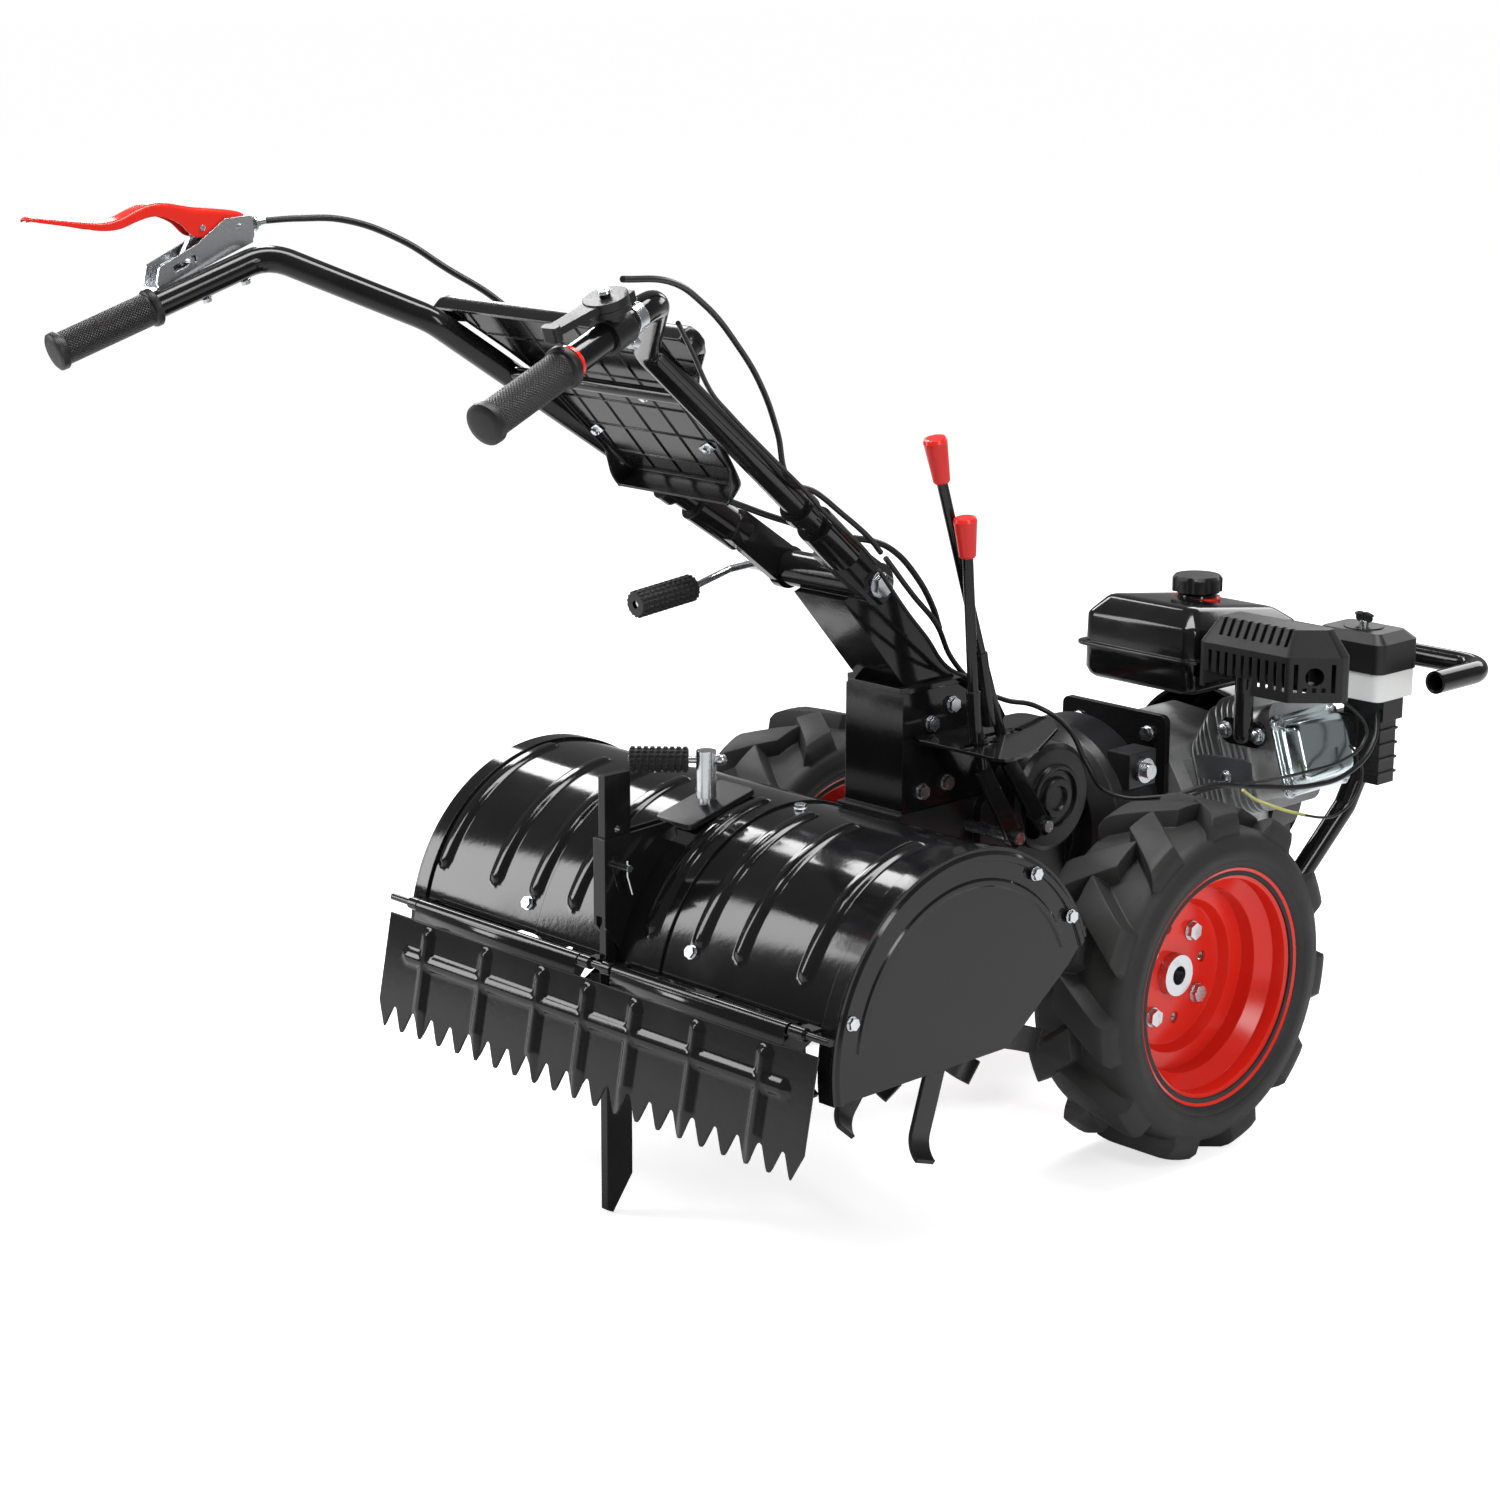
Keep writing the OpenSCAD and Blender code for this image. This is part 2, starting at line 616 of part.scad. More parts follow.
// One cooling fin at x, from a little below the cylinder's axis up to the height top
module fin(x, top) translate([x, 0, 0]) rotate([0, 90, 0]) linear_extrude(2)
    translate([(fin_foot - top) / 2, 0]) rounded_rect(top + fin_foot, 124, 22);

module cylinder_head() color(alloy) cylinder_frame() {
    translate([head_x0, 0, 0]) rotate([0, 90, 0]) difference() {
        translate([-8, 0, 0]) linear_extrude(head_x1 - head_x0) rounded_rect(112, 116, 14);
        translate([0, 0, -1]) cylinder(r=30, h=10);
    }
    for (i = [0:4]) fin(head_x0 + 4 + i * 9, fin_top);
    for (s = [-1, 1]) translate([port_x, s * 57, port_z]) rotate([-90 * s, 0, 0]) cylinder(r=17, h=9);
}

module valve_cover() color("#a9b8bd") cylinder_frame() {
    // stepped pressing: flange, waist and domed face
    translate([head_x1, 0, 0]) rotate([0, 90, 0]) {
        linear_extrude(4) rounded_rect(98, 124, 16);
        linear_extrude(10) rounded_rect(84, 110, 14);
        linear_extrude(cover_x1 - head_x1) rounded_rect(76, 98, 16);
    }
    for (sy = [-1, 1], sz = [-1, 1]) translate([head_x1 + 4, sy * 52, sz * 40]) rotate([0, 90, 0])
        hex_bolt(6, 1);
}

module exhaust_pipe() color(paint_black) {
    flange = [166, cyl_y - 66 - seat, 419];
    pipe = [172, 255.2];
    difference() {
        union() {
            front(flange[1] - 6, flange[1]) translate([flange[0], flange[2]]) rounded_rect(66, 32, 15);
            translate([pipe[0], pipe[1], flange[2]]) cylinder(r=11.5, h=86);
            translate([pipe[0], pipe[1], flange[2]]) sphere(11.6);
            // muffler can inside its cover
            front(262, 292) translate([200, 504]) rounded_rect(120, 38, 16);
        }
        front(265, 290) translate([200, 504]) rounded_rect(116, 34, 14);
        translate([pipe[0], pipe[1], flange[2] + 6]) cylinder(r=9, h=76);
        y_rod(pipe[1], 272, pipe[0], 495, 5.5);
    }
    for (s = [-1, 1]) translate([flange[0] + s * 24, flange[1] - 6, flange[2]]) rotate([90, 0, 0])
        hex_bolt(8, 1);
}

// Muffler cover: a slotted shell with a crowned top and a cut corner
module muffler_plan(inset) polygon(rounded([[112 + inset, 240 + inset], [246 - inset * 0.4, 240 + inset],
    [290 - inset, 284 + inset * 0.4], [290 - inset, muffler_front - inset], [112 + inset, muffler_front - inset]],
    min(8, 4 + (muffler_front - 284 - inset * 1.4) / 4)));

module muffler_top() polygon(rounded([[128, 256], [240, 256], [268, 284], [268, muffler_front - 6],
    [128, muffler_front - 6]], 5));

module muffler_cover() color(plastic_black) difference() {
    union() {
        translate([0, 0, 472]) linear_extrude(53) muffler_plan(0);
        translate([0, 0, 525]) hull() {
            linear_extrude(1) muffler_plan(0);
            translate([0, 0, 30]) linear_extrude(1) muffler_top();
        }
    }
    translate([0, 0, 471]) linear_extrude(53) muffler_plan(3);
    translate([0, 0, 523]) linear_extrude(22) muffler_top();
    // louvres in the rear face, the cut corner and the crown
    for (i = [0:9]) translate([128 + i * 12, 236, 484]) cube([5, 12, 34]);
    for (i = [-2:2]) translate([268, 262, 484]) rotate([0, 0, 45]) translate([i * 11 - 2.5, -8, 0])
        cube([5, 16, abs(i) == 2 ? 34 : 6]);
    translate([268, 262, 503]) rotate([0, 0, 45]) rotate([90, 0, 0]) cylinder(r=11, h=24, center=true);
    for (i = [0:8]) translate([138 + i * 12, 243, 538]) rotate([-28, 0, 0]) cube([5, 8, 26]);
    // arched foot, so that the exhaust pipe can rise into the cover
    translate([122, 236, 471]) cube([70, 14, 20]);
}

module tank_plan(inset) translate([tank_x - tank_w / 2 + inset, tank_y + inset])
    translate([(tank_w - 2 * inset) / 2, (tank_l - 2 * inset) / 2])
        rounded_rect(tank_w - 2 * inset, tank_l - 2 * inset, 24);

// Outer form of the tank, drawn smaller by inset for its inside
module tank_form(inset) {
    hull() {
        translate([0, 0, tank_seam_z]) linear_extrude(20 - inset) tank_plan(2 + inset);
        translate([0, tank_y, tank_seam_z + 64 - inset]) rotate([-10.4, 0, 0]) translate([0, -tank_y, 0])
            linear_extrude(1) tank_plan(28 + inset);
    }
    hull() {
        translate([0, 0, tank_z + 14]) linear_extrude(tank_seam_z - tank_z - 13) tank_plan(2 + inset);
        translate([0, 0, tank_z + inset]) linear_extrude(1) tank_plan(14 + inset);
    }
}

module fuel_tank() color(paint_black) difference() {
    union() {
        tank_form(0);
        translate([0, 0, tank_seam_z - 2]) linear_extrude(3) tank_plan(-6);
        translate([cap_x, cap_y, tank_seam_z + 20]) cylinder(r=25, h=cap_z - tank_seam_z - 20);
    }
    tank_form(tank_wall);
    translate([cap_x, cap_y, tank_seam_z + 10]) cylinder(r=19, h=80);
}

module fuel_cap() color(plastic_black) translate([cap_x, cap_y, cap_z + gap]) {
    difference() {
        rotate_extrude() polygon([[0, 0], [31, 0], [31, 16], [28, 20], [0, 20]]);
        for (i = [0:7]) rotate([0, 0, i * 45 + 22]) translate([36, 0, -1]) cylinder(r=8, h=22);
    }
    translate([0, 0, -10]) cylinder(r=18.5, h=11);
}

module fan_housing() color(paint_black) translate([0, 396.2, crank_z]) rotate([-90, 0, 0])
    difference() {
        union() {
            rotate_extrude($fn=64) polygon([[0, 0], [118, 0], [118, 58], [106, 72], [96, 76], [92, 92],
                [84, 98], [0, 98]]);
            translate([-106, 0, 0]) cube([212, 96, 50]);
        }
        // the shroud is a shell round the flywheel
        rotate_extrude($fn=64) polygon([[0, -1], [114, -1], [114, 56], [102, 69], [78, 72], [78, 92], [0, 92]]);
        translate([-102, 0, -1]) cube([204, 92, 47]);
        // cooling air inlets round the recoil starter
        for (i = [0:11]) rotate([0, 0, i * 30]) translate([62, 0, 84]) cube([22, 7, 30], center=true);
        for (i = [0:11]) rotate([0, 0, i * 30 + 15]) translate([40, 0, 90]) cube([12, 6, 20], center=true);
        translate([-60, -68, 60]) cube([28, 18, 60]);
    }

module starter_grip() color(plastic_black) translate([-46, 396.2 + 100, crank_z + 59]) {
    translate([0, 2, 0]) rotate([-90, 0, 0]) linear_extrude(10) rounded_rect(40, 13, 6);
    translate([0, -38, 0]) rotate([-90, 0, 0]) cylinder(r=3, h=41);
}

module air_filter_cover() color(plastic_black) difference() {
    translate([(filter_x0 + filter_x1) / 2, (filter_y0 + filter_y1) / 2, 482]) {
        w = filter_x1 - filter_x0;
        l = filter_y1 - filter_y0;
        linear_extrude(30) rounded_rect(w, l, 12);
        hull() {
            translate([0, 0, 30]) linear_extrude(6) rounded_rect(w, l, 12);
            translate([0, 0, 46]) linear_extrude(1) rounded_rect(w - 26, l - 22, 8);
        }
        translate([0, 0, 46]) cylinder(r=24, h=2.5);
        translate([0, 0, 48]) cylinder(r=3, h=17);
        for (s = [-1, 1]) translate([s * 7, 0, 58]) rotate([90, 0, 0]) cylinder(r=5, h=2, center=true);
    }
    translate([(filter_x0 + filter_x1) / 2, (filter_y0 + filter_y1) / 2, 481]) linear_extrude(32)
        rounded_rect(filter_x1 - filter_x0 - 8, filter_y1 - filter_y0 - 8, 8);
}

module air_filter_body() color("#c9cbc8") translate([(filter_x0 + filter_x1) / 2,
    (filter_y0 + filter_y1) / 2, 448]) difference() {
        linear_extrude(34) rounded_rect(filter_x1 - filter_x0 - 4, filter_y1 - filter_y0 - 4, 10);
        translate([0, 0, 4]) linear_extrude(31)
            rounded_rect(filter_x1 - filter_x0 - 12, filter_y1 - filter_y0 - 12, 8);
    }

module carburettor() color(plastic_black) {
    // intake duct below the filter, ribbed elbow and carburettor body
    translate([196, 422, 420]) cube([58, 40, 27.8]);
    translate([214, 426, 340]) cube([34, 32, 81]);
    for (i = [0:3]) translate([212, 424, 352 + i * 18]) cube([38, 36, 3]);
    y_rod(405, 430, 200, 404, 17);
    translate([182, 416, 384]) cube([40, 26, 40]);
    y_rod(cyl_y + 66 + seat, 405, 190, 404, 15);
}

// ---------- rotor, hood and flap ----------
module hood_frame() translate([0, hood_y, hood_z]) rotate([90, 0, 90]) children();

// A curved sheet from x0 to x1 with outer radius r
module hood_sheet(x0, x1, r, a0=hood_a0, a1=hood_a1) hood_frame() translate([0, 0, x0])
    rotate([0, 0, a0]) rotate_extrude(angle=a1 - a0, $fn=120) translate([r - sheet, 0])
        square([sheet, x1 - x0]);

// A pressed rib along the curve of the sheet, with round ends
module hood_rib(x, r) hood_frame() difference() {
    union() {
        translate([0, 0, x]) rotate([0, 0, 95]) rotate_extrude(angle=57, $fn=120)
            translate([r - 3.4, 0]) circle(8, $fn=24);
        for (a = [95, 152]) rotate([0, 0, a]) translate([r - 10, 0, x]) rotate([0, 90, 0])
            cylinder(r=7.4, h=14);
    }
    translate([0, 0, x - 20]) cylinder(r=r - sheet / 2, h=40, $fn=120);
}

module hood_left() color(paint_black) difference() {
    union() {
        hood_sheet(-hood_half_w, lap_left + 16, hood_r);
        for (x = [-303, -212, -144]) hood_rib(x, hood_r);
    }
    hood_bolt_holes(4 + seat);
}

module hood_right() color(paint_black) difference() {
    union() {
        hood_sheet(lap_right - 16, hood_half_w, hood_r);
        for (x = [119, 181, 275]) hood_rib(x, hood_r);
    }
    hood_bolt_holes(4 + seat);
}

module hood_centre() color(paint_black) difference() {
    union() {
        hood_sheet(lap_left, lap_right, hood_r + sheet + seat, a0=36);
        for (x = [-78, 48]) hood_rib(x, hood_r + sheet + seat);
    }
    translate([-tine_case_half_w - 5, post_y - 44, hood_z]) cube([2 * tine_case_half_w + 10, 104, 260]);
    translate([stake_x - stake_t / 2 - 1, hinge_y - 20, hood_z - 60]) cube([stake_t + 2, 68, 175]);
}

hood_bolts = [[-149, 158], [113, 157], [-136, 89.5], [94, 91]];

module hood_bolt_holes(r) for (b = hood_bolts) hood_frame() rotate([0, 0, b[1]])
    translate([hood_r - 20, 0, b[0]]) rotate([0, 90, 0]) cylinder(r=r, h=40);

// End plate: a dished side with a rolled rim and an embossed arc
module end_plate() {
    hood_frame() {
        translate([0, 0, hood_half_w + seat]) linear_extrude(3) intersection() {
            circle(hood_r + 3, $fn=120);
            end_outline();
        }
        intersection() {
            translate([0, 0, hood_half_w - 18]) rotate_extrude($fn=120)
                polygon([[hood_r + seat, 0], [hood_r + 3, 0], [hood_r + 3, 18], [hood_r - 4, 24],
                    [hood_r - 10, 24], [hood_r - 12, 18 + seat], [hood_r + seat, 18 + seat]]);
            translate([0, 0, hood_half_w - 30]) linear_extrude(60) end_outline();
        }
        translate([0, 0, hood_half_w + 3]) rotate([0, 0, 24]) rotate_extrude(angle=150, $fn=120)
            translate([hood_r - 34, 0]) polygon([[-5, 0], [-2.5, 2], [2.5, 2], [5, 0]]);
    }
}

module end_outline() polygon([[-205, -31], [64, -29], [158, 42], [183, 67], [210, 70], [210, 210],
    [-205, 210]]);

module end_plate_right() color(paint_black) end_plate();
module end_plate_left() color(paint_black) mirror([1, 0, 0]) end_plate();

// Gear housing of the rotor, with the drive tube that joins it to the gear case
module tine_case() color(cast_black) difference() {
    union() {
        side(-tine_case_half_w, tine_case_half_w) {
            translate([hood_y, hood_z]) circle(52);
            polygon([[hood_y + 52, hood_z], [hood_y + 4, 428], [post_y - 40, 408], [hood_y - 52, hood_z]]);
        }
        post_plate_frame() linear_extrude(post_plate_t) rounded_rect(2 * tine_case_half_w, 100, 6);
        y_rod(hood_y + 40, bracket_rear - 8, 0, 300, 34);
        y_rod(bracket_rear - 24, bracket_rear - 8, 0, 300, 46);
        // side plates that carry the hood
        both_sides() side(tine_case_half_w, tine_case_half_w + 4)
            translate([hood_y - 40, hood_z + 60]) square([80, 118]);
    }
    x_rod(-60, 60, hood_y, hood_z, rotor_shaft_r + run);
    translate([0, post_y, post_z - 40]) cylinder(r=post_r - 3 + run, h=50);
}

module post_plate_frame() translate([0, post_y, post_z - post_plate_t - 5]) rotate([14, 0, 0]) children();

module rotor_shaft() color(cast_black) {
    x_rod(-316, 316, hood_y, hood_z, rotor_shaft_r);
    both_sides() for (x = tine_disc_x) x_rod(x - 3, x + 3, hood_y, hood_z, 50);
    both_sides() x_rod(tine_case_half_w + 6, 312, hood_y, hood_z, rotor_shaft_r + 6);
}

// A tine: a flat bar bolted to its disc, with the tip rolled sideways
module tine() {
    bend = 34;
    straight = rotor_r - bend - 2;
    translate([0, -tine_w / 2, 30]) cube([tine_t, tine_w, straight - 30]);
    translate([bend, -tine_w / 2, straight]) rotate([-90, 0, 0]) rotate([0, 0, 180])
        rotate_extrude(angle=62) translate([bend - tine_t, 0]) square([tine_t, tine_w]);
    translate([tine_t, 0, 40]) rotate([0, 90, 0]) hex_bolt(8, 4);
}

module tines() color(cast_black) both_sides() for (i = [0:3], k = [0:3])
    translate([tine_disc_x[i] + 3 + seat, hood_y, hood_z]) rotate([k * 90 + i * 22 - 174, 0, 0]) difference() {
        tine();
        translate([-1, 0, 0]) rotate([0, 90, 0]) cylinder(r=rotor_shaft_r + 7, h=20);
    }

function tooth_edge() = let (n = floor(2 * (flap_half_w - 6) / tooth_pitch), w = tooth_pitch,
    x0 = -n * w / 2)
    [for (i = [0:n - 1]) each [[x0 + i * w + 0.05 * w, -flap_l + 1], [x0 + i * w + 0.13 * w, -flap_l + 5],
        [x0 + i * w + 0.4 * w, -flap_l + tooth_h - 2], [x0 + i * w + 0.5 * w, -flap_l + tooth_h],
        [x0 + i * w + 0.6 * w, -flap_l + tooth_h - 2], [x0 + i * w + 0.87 * w, -flap_l + 5],
        [x0 + i * w + 0.95 * w, -flap_l + 1]]];

module flap_frame() translate([0, hinge_y, hinge_z]) rotate([-flap_lean, 0, 0]) children();

module flap() color(paint_black) flap_frame() {
    w = flap_half_w;
    difference() {
        translate([0, -hinge_r + sheet, 0]) rotate([90, 0, 0]) linear_extrude(sheet)
            polygon(concat([[-w, -16], [-w, -flap_l + tooth_h + 10]], tooth_edge(),
                [[w, -flap_l + tooth_h + 10], [w, -16], [292, -16], [292, 0], [30, 0], [30, -30],
                [-26, -30], [-26, 0], [-300, 0], [-300, -16]]));
        rod([-400, 0, 0], [400, 0, 0], hinge_r - 1);
    }
    for (k = [[-300, -26], [30, 292]]) difference() {
        rod([k[0], 0, 0], [k[1], 0, 0], hinge_r);
        rod([-400, 0, 0], [400, 0, 0], rod_r + run);
    }
    // crossed stiffening ribs
    for (x = [-270, -170, -75, 0, 75, 170, 270]) flap_rib([x, -28], [x, -flap_l + tooth_h + 4]);
    flap_rib([-300, -58], [300, -58]);
}

module flap_rib(a, b) translate([0, -hinge_r, 0]) difference() {
    union() {
        rod([a[0], 4, a[1]], [b[0], 4, b[1]], 8);
        for (p = [a, b]) translate([p[0], 4, p[1]]) sphere(8);
    }
    translate([-500, sheet * 0.6, -500]) cube([1000, 50, 1000]);
}

module flap_rod() color(paint_black) {
    x_rod(-flap_half_w - 8, flap_half_w + 8, hinge_y, hinge_z, rod_r);
    // hinge eyes on the hood
    for (k = [[-316, -301], [-24, -8], [12, 26], [296, 316]])
        x_rod(k[0], k[1], hinge_y, hinge_z, hinge_r);
    for (k = [[-316, -301], [-24, -8], [12, 26], [296, 316]]) difference() {
        side(k[0], k[1]) translate([hinge_y, hinge_z - 2]) square([40, 4]);
        hood_frame() translate([0, 0, -340]) cylinder(r=hood_r + (abs(k[0]) < 100 ? sheet : 0) + 2 * seat,
            h=680, $fn=120);
    }
}

// ---------- depth stake and post ----------
module stake_bracket() color(paint_black) {
    x0 = stake_x - stake_t / 2 - seat;
    x1 = stake_x + stake_t / 2 + seat;
    y0 = stake_y - stake_w / 2 - seat;
    difference() {
        union() {
            for (x = [x0 - 4, x1]) side(x, x + 4) polygon([[y0 - 4, 420], [-524, 424], [-512, 414],
                [-512, 388], [-590, 290], [y0 - 4, 325]]);
            side(x0 - 4, x1 + 4) translate([y0 - 4, 335]) square([4, 85]);
        }
        x_rod(-40, 40, stake_y, pin_z, pin_r + run);
        hood_frame() translate([0, 0, -60]) cylinder(r=hood_r + sheet + 2 * seat, h=120, $fn=120);
    }
}

module stake() color(paint_black) difference() {
    side(stake_x - stake_t / 2, stake_x + stake_t / 2) polygon([[stake_y - stake_w / 2, 4],
        [stake_y - stake_w / 2 + 8, 0], [stake_y + stake_w / 2, 38], [stake_y + stake_w / 2, stake_top],
        [stake_y - stake_w / 2, stake_top]]);
    for (i = [-5:1]) x_rod(-20, 30, stake_y, pin_z + i * 40, pin_r + run);
}

module stake_pin() color(zinc) {
    x_rod(stake_x - 20, stake_x + 24, stake_y, pin_z, pin_r);
    x_rod(stake_x - 24, stake_x - 20, stake_y, pin_z, pin_r + 4);
    // spring clip through the end of the pin
    bent_tube([[stake_x + 20, stake_y, pin_z + 8], [stake_x + 20, stake_y, pin_z - 8],
        [stake_x + 20, stake_y + 7, pin_z - 30]], 3, 1.2, 0);
}

module depth_post() color(zinc) {
    d = [cos(post_grip_angle), sin(post_grip_angle), 0];
    translate([0, post_y, post_z + gap]) cylinder(r=post_r, h=post_h);
    translate([0, post_y, post_z - 30]) cylinder(r=post_r - 3, h=40);
    rod([0, post_y, post_grip_z] - d * 18, [0, post_y, post_grip_z] + d * 84, 4);
    translate([0, post_y, post_grip_z] - d * 16) sphere(6.5);
}

module knurled_grip(l, r, bore) difference() {
    cylinder(r=r, h=l);
    translate([0, 0, -1]) cylinder(r=bore, h=l + 2);
    for (i = [1:5]) translate([0, 0, i * l / 6 - 1.2]) rotate_extrude() translate([r - 2.2, 0])
        square([4, 2.4]);
}

module post_grip() color(rubber_black) {
    d = [cos(post_grip_angle), sin(post_grip_angle), 0];
    translate([0, post_y, post_grip_z] + d * 19) along(d) knurled_grip(64, 13.5, 4 + seat);
}

// ---------- handlebars ----------
module handlebar() {
    r = bar_d / 2;
    bent_tube([bar_low, bar_bend_a, bar_bend_b, bar_end], bar_bend_r, r, r - tube_wall);
    // socket that the tube slides into, flattened into an eye at the pivot
    dir = unit(bar_bend_a - bar_low);
    pivot = [pivot_y, pivot_z];
    foot = [bar_low[1], bar_low[2]];
    n = unit([pivot[1] - foot[1], foot[0] - pivot[0]]);
    difference() {
        union() {
            side(eye_x, eye_x + eye_t) {
                translate(pivot) circle(eye_r);
                polygon([pivot + n * 22, foot + n * 19, foot - n * 19, pivot - n * 22]);
            }
            translate(bar_low - dir * 24) along(dir) cylinder(r=21, h=70);
        }
        x_rod(eye_x - 1, eye_x + eye_t + 60, pivot_y, pivot_z, pivot_bolt_r + run);
        translate(bar_low - dir * 8) along(dir) cylinder(r=r + seat, h=120);
        translate([0, pivot_y, pivot_z]) rotate([0, 90, 0]) cylinder(r=pivot_tube_d / 2 + gap, h=eye_x);
        translate([eye_x + eye_t, pivot_y, pivot_z]) rotate([0, 90, 0]) cylinder(r=eye_r + 3, h=60);
    }
    // clamping collar
    translate(bar_low + dir * 74) along(dir) difference() {
        cylinder(r=r + 6, h=16);
        translate([0, 0, -1]) cylinder(r=r + seat, h=18);
    }
}

module handlebar_right() color(paint_black) handlebar();
module handlebar_left() color(paint_black) mirror([1, 0, 0]) handlebar();

console_tilt = 131.8;
module console_frame() translate([0, -495, 784]) rotate([console_tilt, 0, 0]) children();

module console_outline(inset) polygon(rounded([[-88 + inset, inset], [88 - inset, inset],
    [100 - inset, 130], [196 - inset, 236], [190 - inset, 252 - inset], [-190 + inset, 252 - inset],
    [-196 + inset, 236], [-100 + inset, 130]], 7));

module console() color(plastic_black) {
    console_frame() {
        difference() {
            translate([0, 0, -12]) linear_extrude(30) console_outline(0);
            translate([0, 0, -9]) linear_extrude(40) console_outline(3);
            // clearance for the two handlebar tubes
            console_tube_cut();
        }
        difference() {
            intersection() {
                translate([0, 0, -10]) linear_extrude(9) console_outline(1);
                union() {
                    for (i = [-4:4]) translate([i * 42 - 1, -10, -12]) cube([2, 280, 12]);
                    for (i = [0:5]) translate([-220, 30 + i * 42, -12]) cube([440, 2, 12]);
                }
            }
            console_tube_cut();
        }
    }
}

module console_tube_cut() rotate([-console_tilt, 0, 0]) translate([0, 495, -784]) both_sides()
    rod(bar_low, bar_low + 1.4 * (bar_bend_a - bar_low), bar_d / 2 + seat);

module hand_grips() color(rubber_black) both_sides() {
    dir = unit(bar_end - bar_bend_b);
    translate(bar_end + dir * 7) along(-dir) difference() {
        union() {
            cylinder(r=grip_d / 2 - 2, h=grip_l);
            cylinder(r=grip_d / 2 + 1, h=10);
            translate([0, 0, grip_l - 8]) cylinder(r=grip_d / 2 + 1, h=8);
        }
        translate([0, 0, 6.8]) cylinder(r=bar_d / 2 + seat, h=grip_l);
    }
}

// ---------- clutch lever ----------
lever_x = -333;
lever_pin = [-818, 1049];
link_top = [-862, 1050];
link_foot = [-880, 1018];

module clutch_bracket() color(zinc) {
    w = 13;
    difference() {
        union() {
            for (x = [lever_x - w, lever_x + w - 2.5]) side(x, x + 2.5) polygon(rounded([[-924, 990],
                [-918, 1014], [-872, 1034], [-836, 1058], [-802, 1060], [-800, 1036]], 5));
            side(lever_x - w, lever_x + w) polygon([[-924, 988], [-922, 993], [-802, 1037], [-802, 1032]]);
        }
        x_rod(lever_x - 30, lever_x + 30, lever_pin[0], lever_pin[1], 3 + run);
        translate([lever_x - 30, link_foot[0], link_foot[1]]) rotate([20, 0, 0]) translate([0, -22, -3.5])
            cube([60, 30, 7]);
        mirror([1, 0, 0]) rod(bar_bend_b, bar_end, bar_d / 2 + seat);
    }
    x_rod(lever_x - w - 3, lever_x + w + 3, lever_pin[0], lever_pin[1], 3);
    // two bolts through the tube
    for (t = [0.3, 0.72]) mirror([1, 0, 0]) {
        p = bar_bend_b + (bar_end - bar_bend_b) * t * 0.45;
        translate(p - throttle_up * (bar_d / 2 + 0.6)) along(-throttle_up) hex_bolt(6, 0.4);
    }
}

module clutch_lever() color(signal_red) difference() {
    union() {
        side(lever_x - 9, lever_x + 9) polygon(rounded([[lever_tip_y, 1066], [lever_tip_y + 6, 1073],
            [-985, 1061], [-920, 1078], [-880, 1072], [-812, 1064], [-806, 1054], [-812, 1042],
            [-868, 1042], [-880, 1056], [-920, 1064], [-980, 1048]], 1));
    }
    side(lever_x - 7.4, lever_x + 7.4) polygon([[-800, 1030], [-800, 1061], [-880, 1069], [-880, 1030]]);
    x_rod(lever_x - 30, lever_x + 30, lever_pin[0], lever_pin[1], 3 + run);
    x_rod(lever_x - 30, lever_x + 30, link_top[0], link_top[1], 3 + run);
}

module clutch_link() color(zinc) {
    difference() {
        side(lever_x - 3, lever_x + 3) {
            translate(link_top) circle(6);
            translate(link_foot) circle(6);
            u = unit(link_foot - link_top);
            n = [-u[1], u[0]];
            polygon([link_top + n * 5, link_foot + n * 5, link_foot - n * 5, link_top - n * 5]);
        }
    }
    x_rod(lever_x - 10.5, lever_x + 10.5, link_top[0], link_top[1], 3);
    x_rod(lever_x - 16, lever_x + 16, link_foot[0], link_foot[1], 3);
}

// ---------- throttle ----------
grip_dir = unit(bar_end - bar_bend_b);
throttle_at = bar_bend_b + (bar_end - bar_bend_b) * 0.26;
throttle_up = unit(cross(cross(grip_dir, [0, 0, 1]), grip_dir));

module throttle_frame() frame_at(throttle_at, -grip_dir, cross(throttle_up, -grip_dir), throttle_up) children();

module throttle_body() color(plastic_black) throttle_frame() {
    difference() {
        union() {
            translate([-14, 0, 0]) rotate([0, 90, 0]) cylinder(r=bar_d / 2 + 4, h=28);
            translate([0, 0, 10]) cylinder(r=14, h=10);
            translate([0, 0, 20]) cylinder(r=21, h=6);
            translate([16, -7, 16]) cube([16, 14, 10]);
        }
        translate([-20, 0, 0]) rotate([0, 90, 0]) cylinder(r=bar_d / 2 + seat, h=40);
    }
    translate([0, 0, 26]) cylinder(r=5, h=12);
}

module throttle_lever() color(plastic_black) throttle_frame() translate([0, 0, 26 + gap]) difference() {
    union() {
        cylinder(r=21, h=8);
        translate([-74, 4, 0]) linear_extrude(7) polygon(rounded([[0, 0], [74, -14], [74, 10], [30, 12],
            [0, 16]], 5));
        translate([-76, 2, 0]) linear_extrude(14) rounded_rect(10, 18, 4);
    }
    translate([0, 0, -1]) cylinder(r=5 + run, h=20);
}

// ---------- clamp lever ----------
clamp_x = -(pivot_half_w + eye_t + 34);
module clamp_lever() color(zinc) difference() {
    union() {
        x_rod(clamp_x - 8, clamp_x + 8, pivot_y, pivot_z, 12);
        bent_tube([[clamp_x, pivot_y - 6, pivot_z], [clamp_x, pivot_y - 50, pivot_z - 2],
            [clamp_x, -378, 642], [clamp_x, -461, 634]], 14, 4, 0);
    }
    x_rod(clamp_x - 10, clamp_x + 10, pivot_y, pivot_z, pivot_bolt_r + run);
}

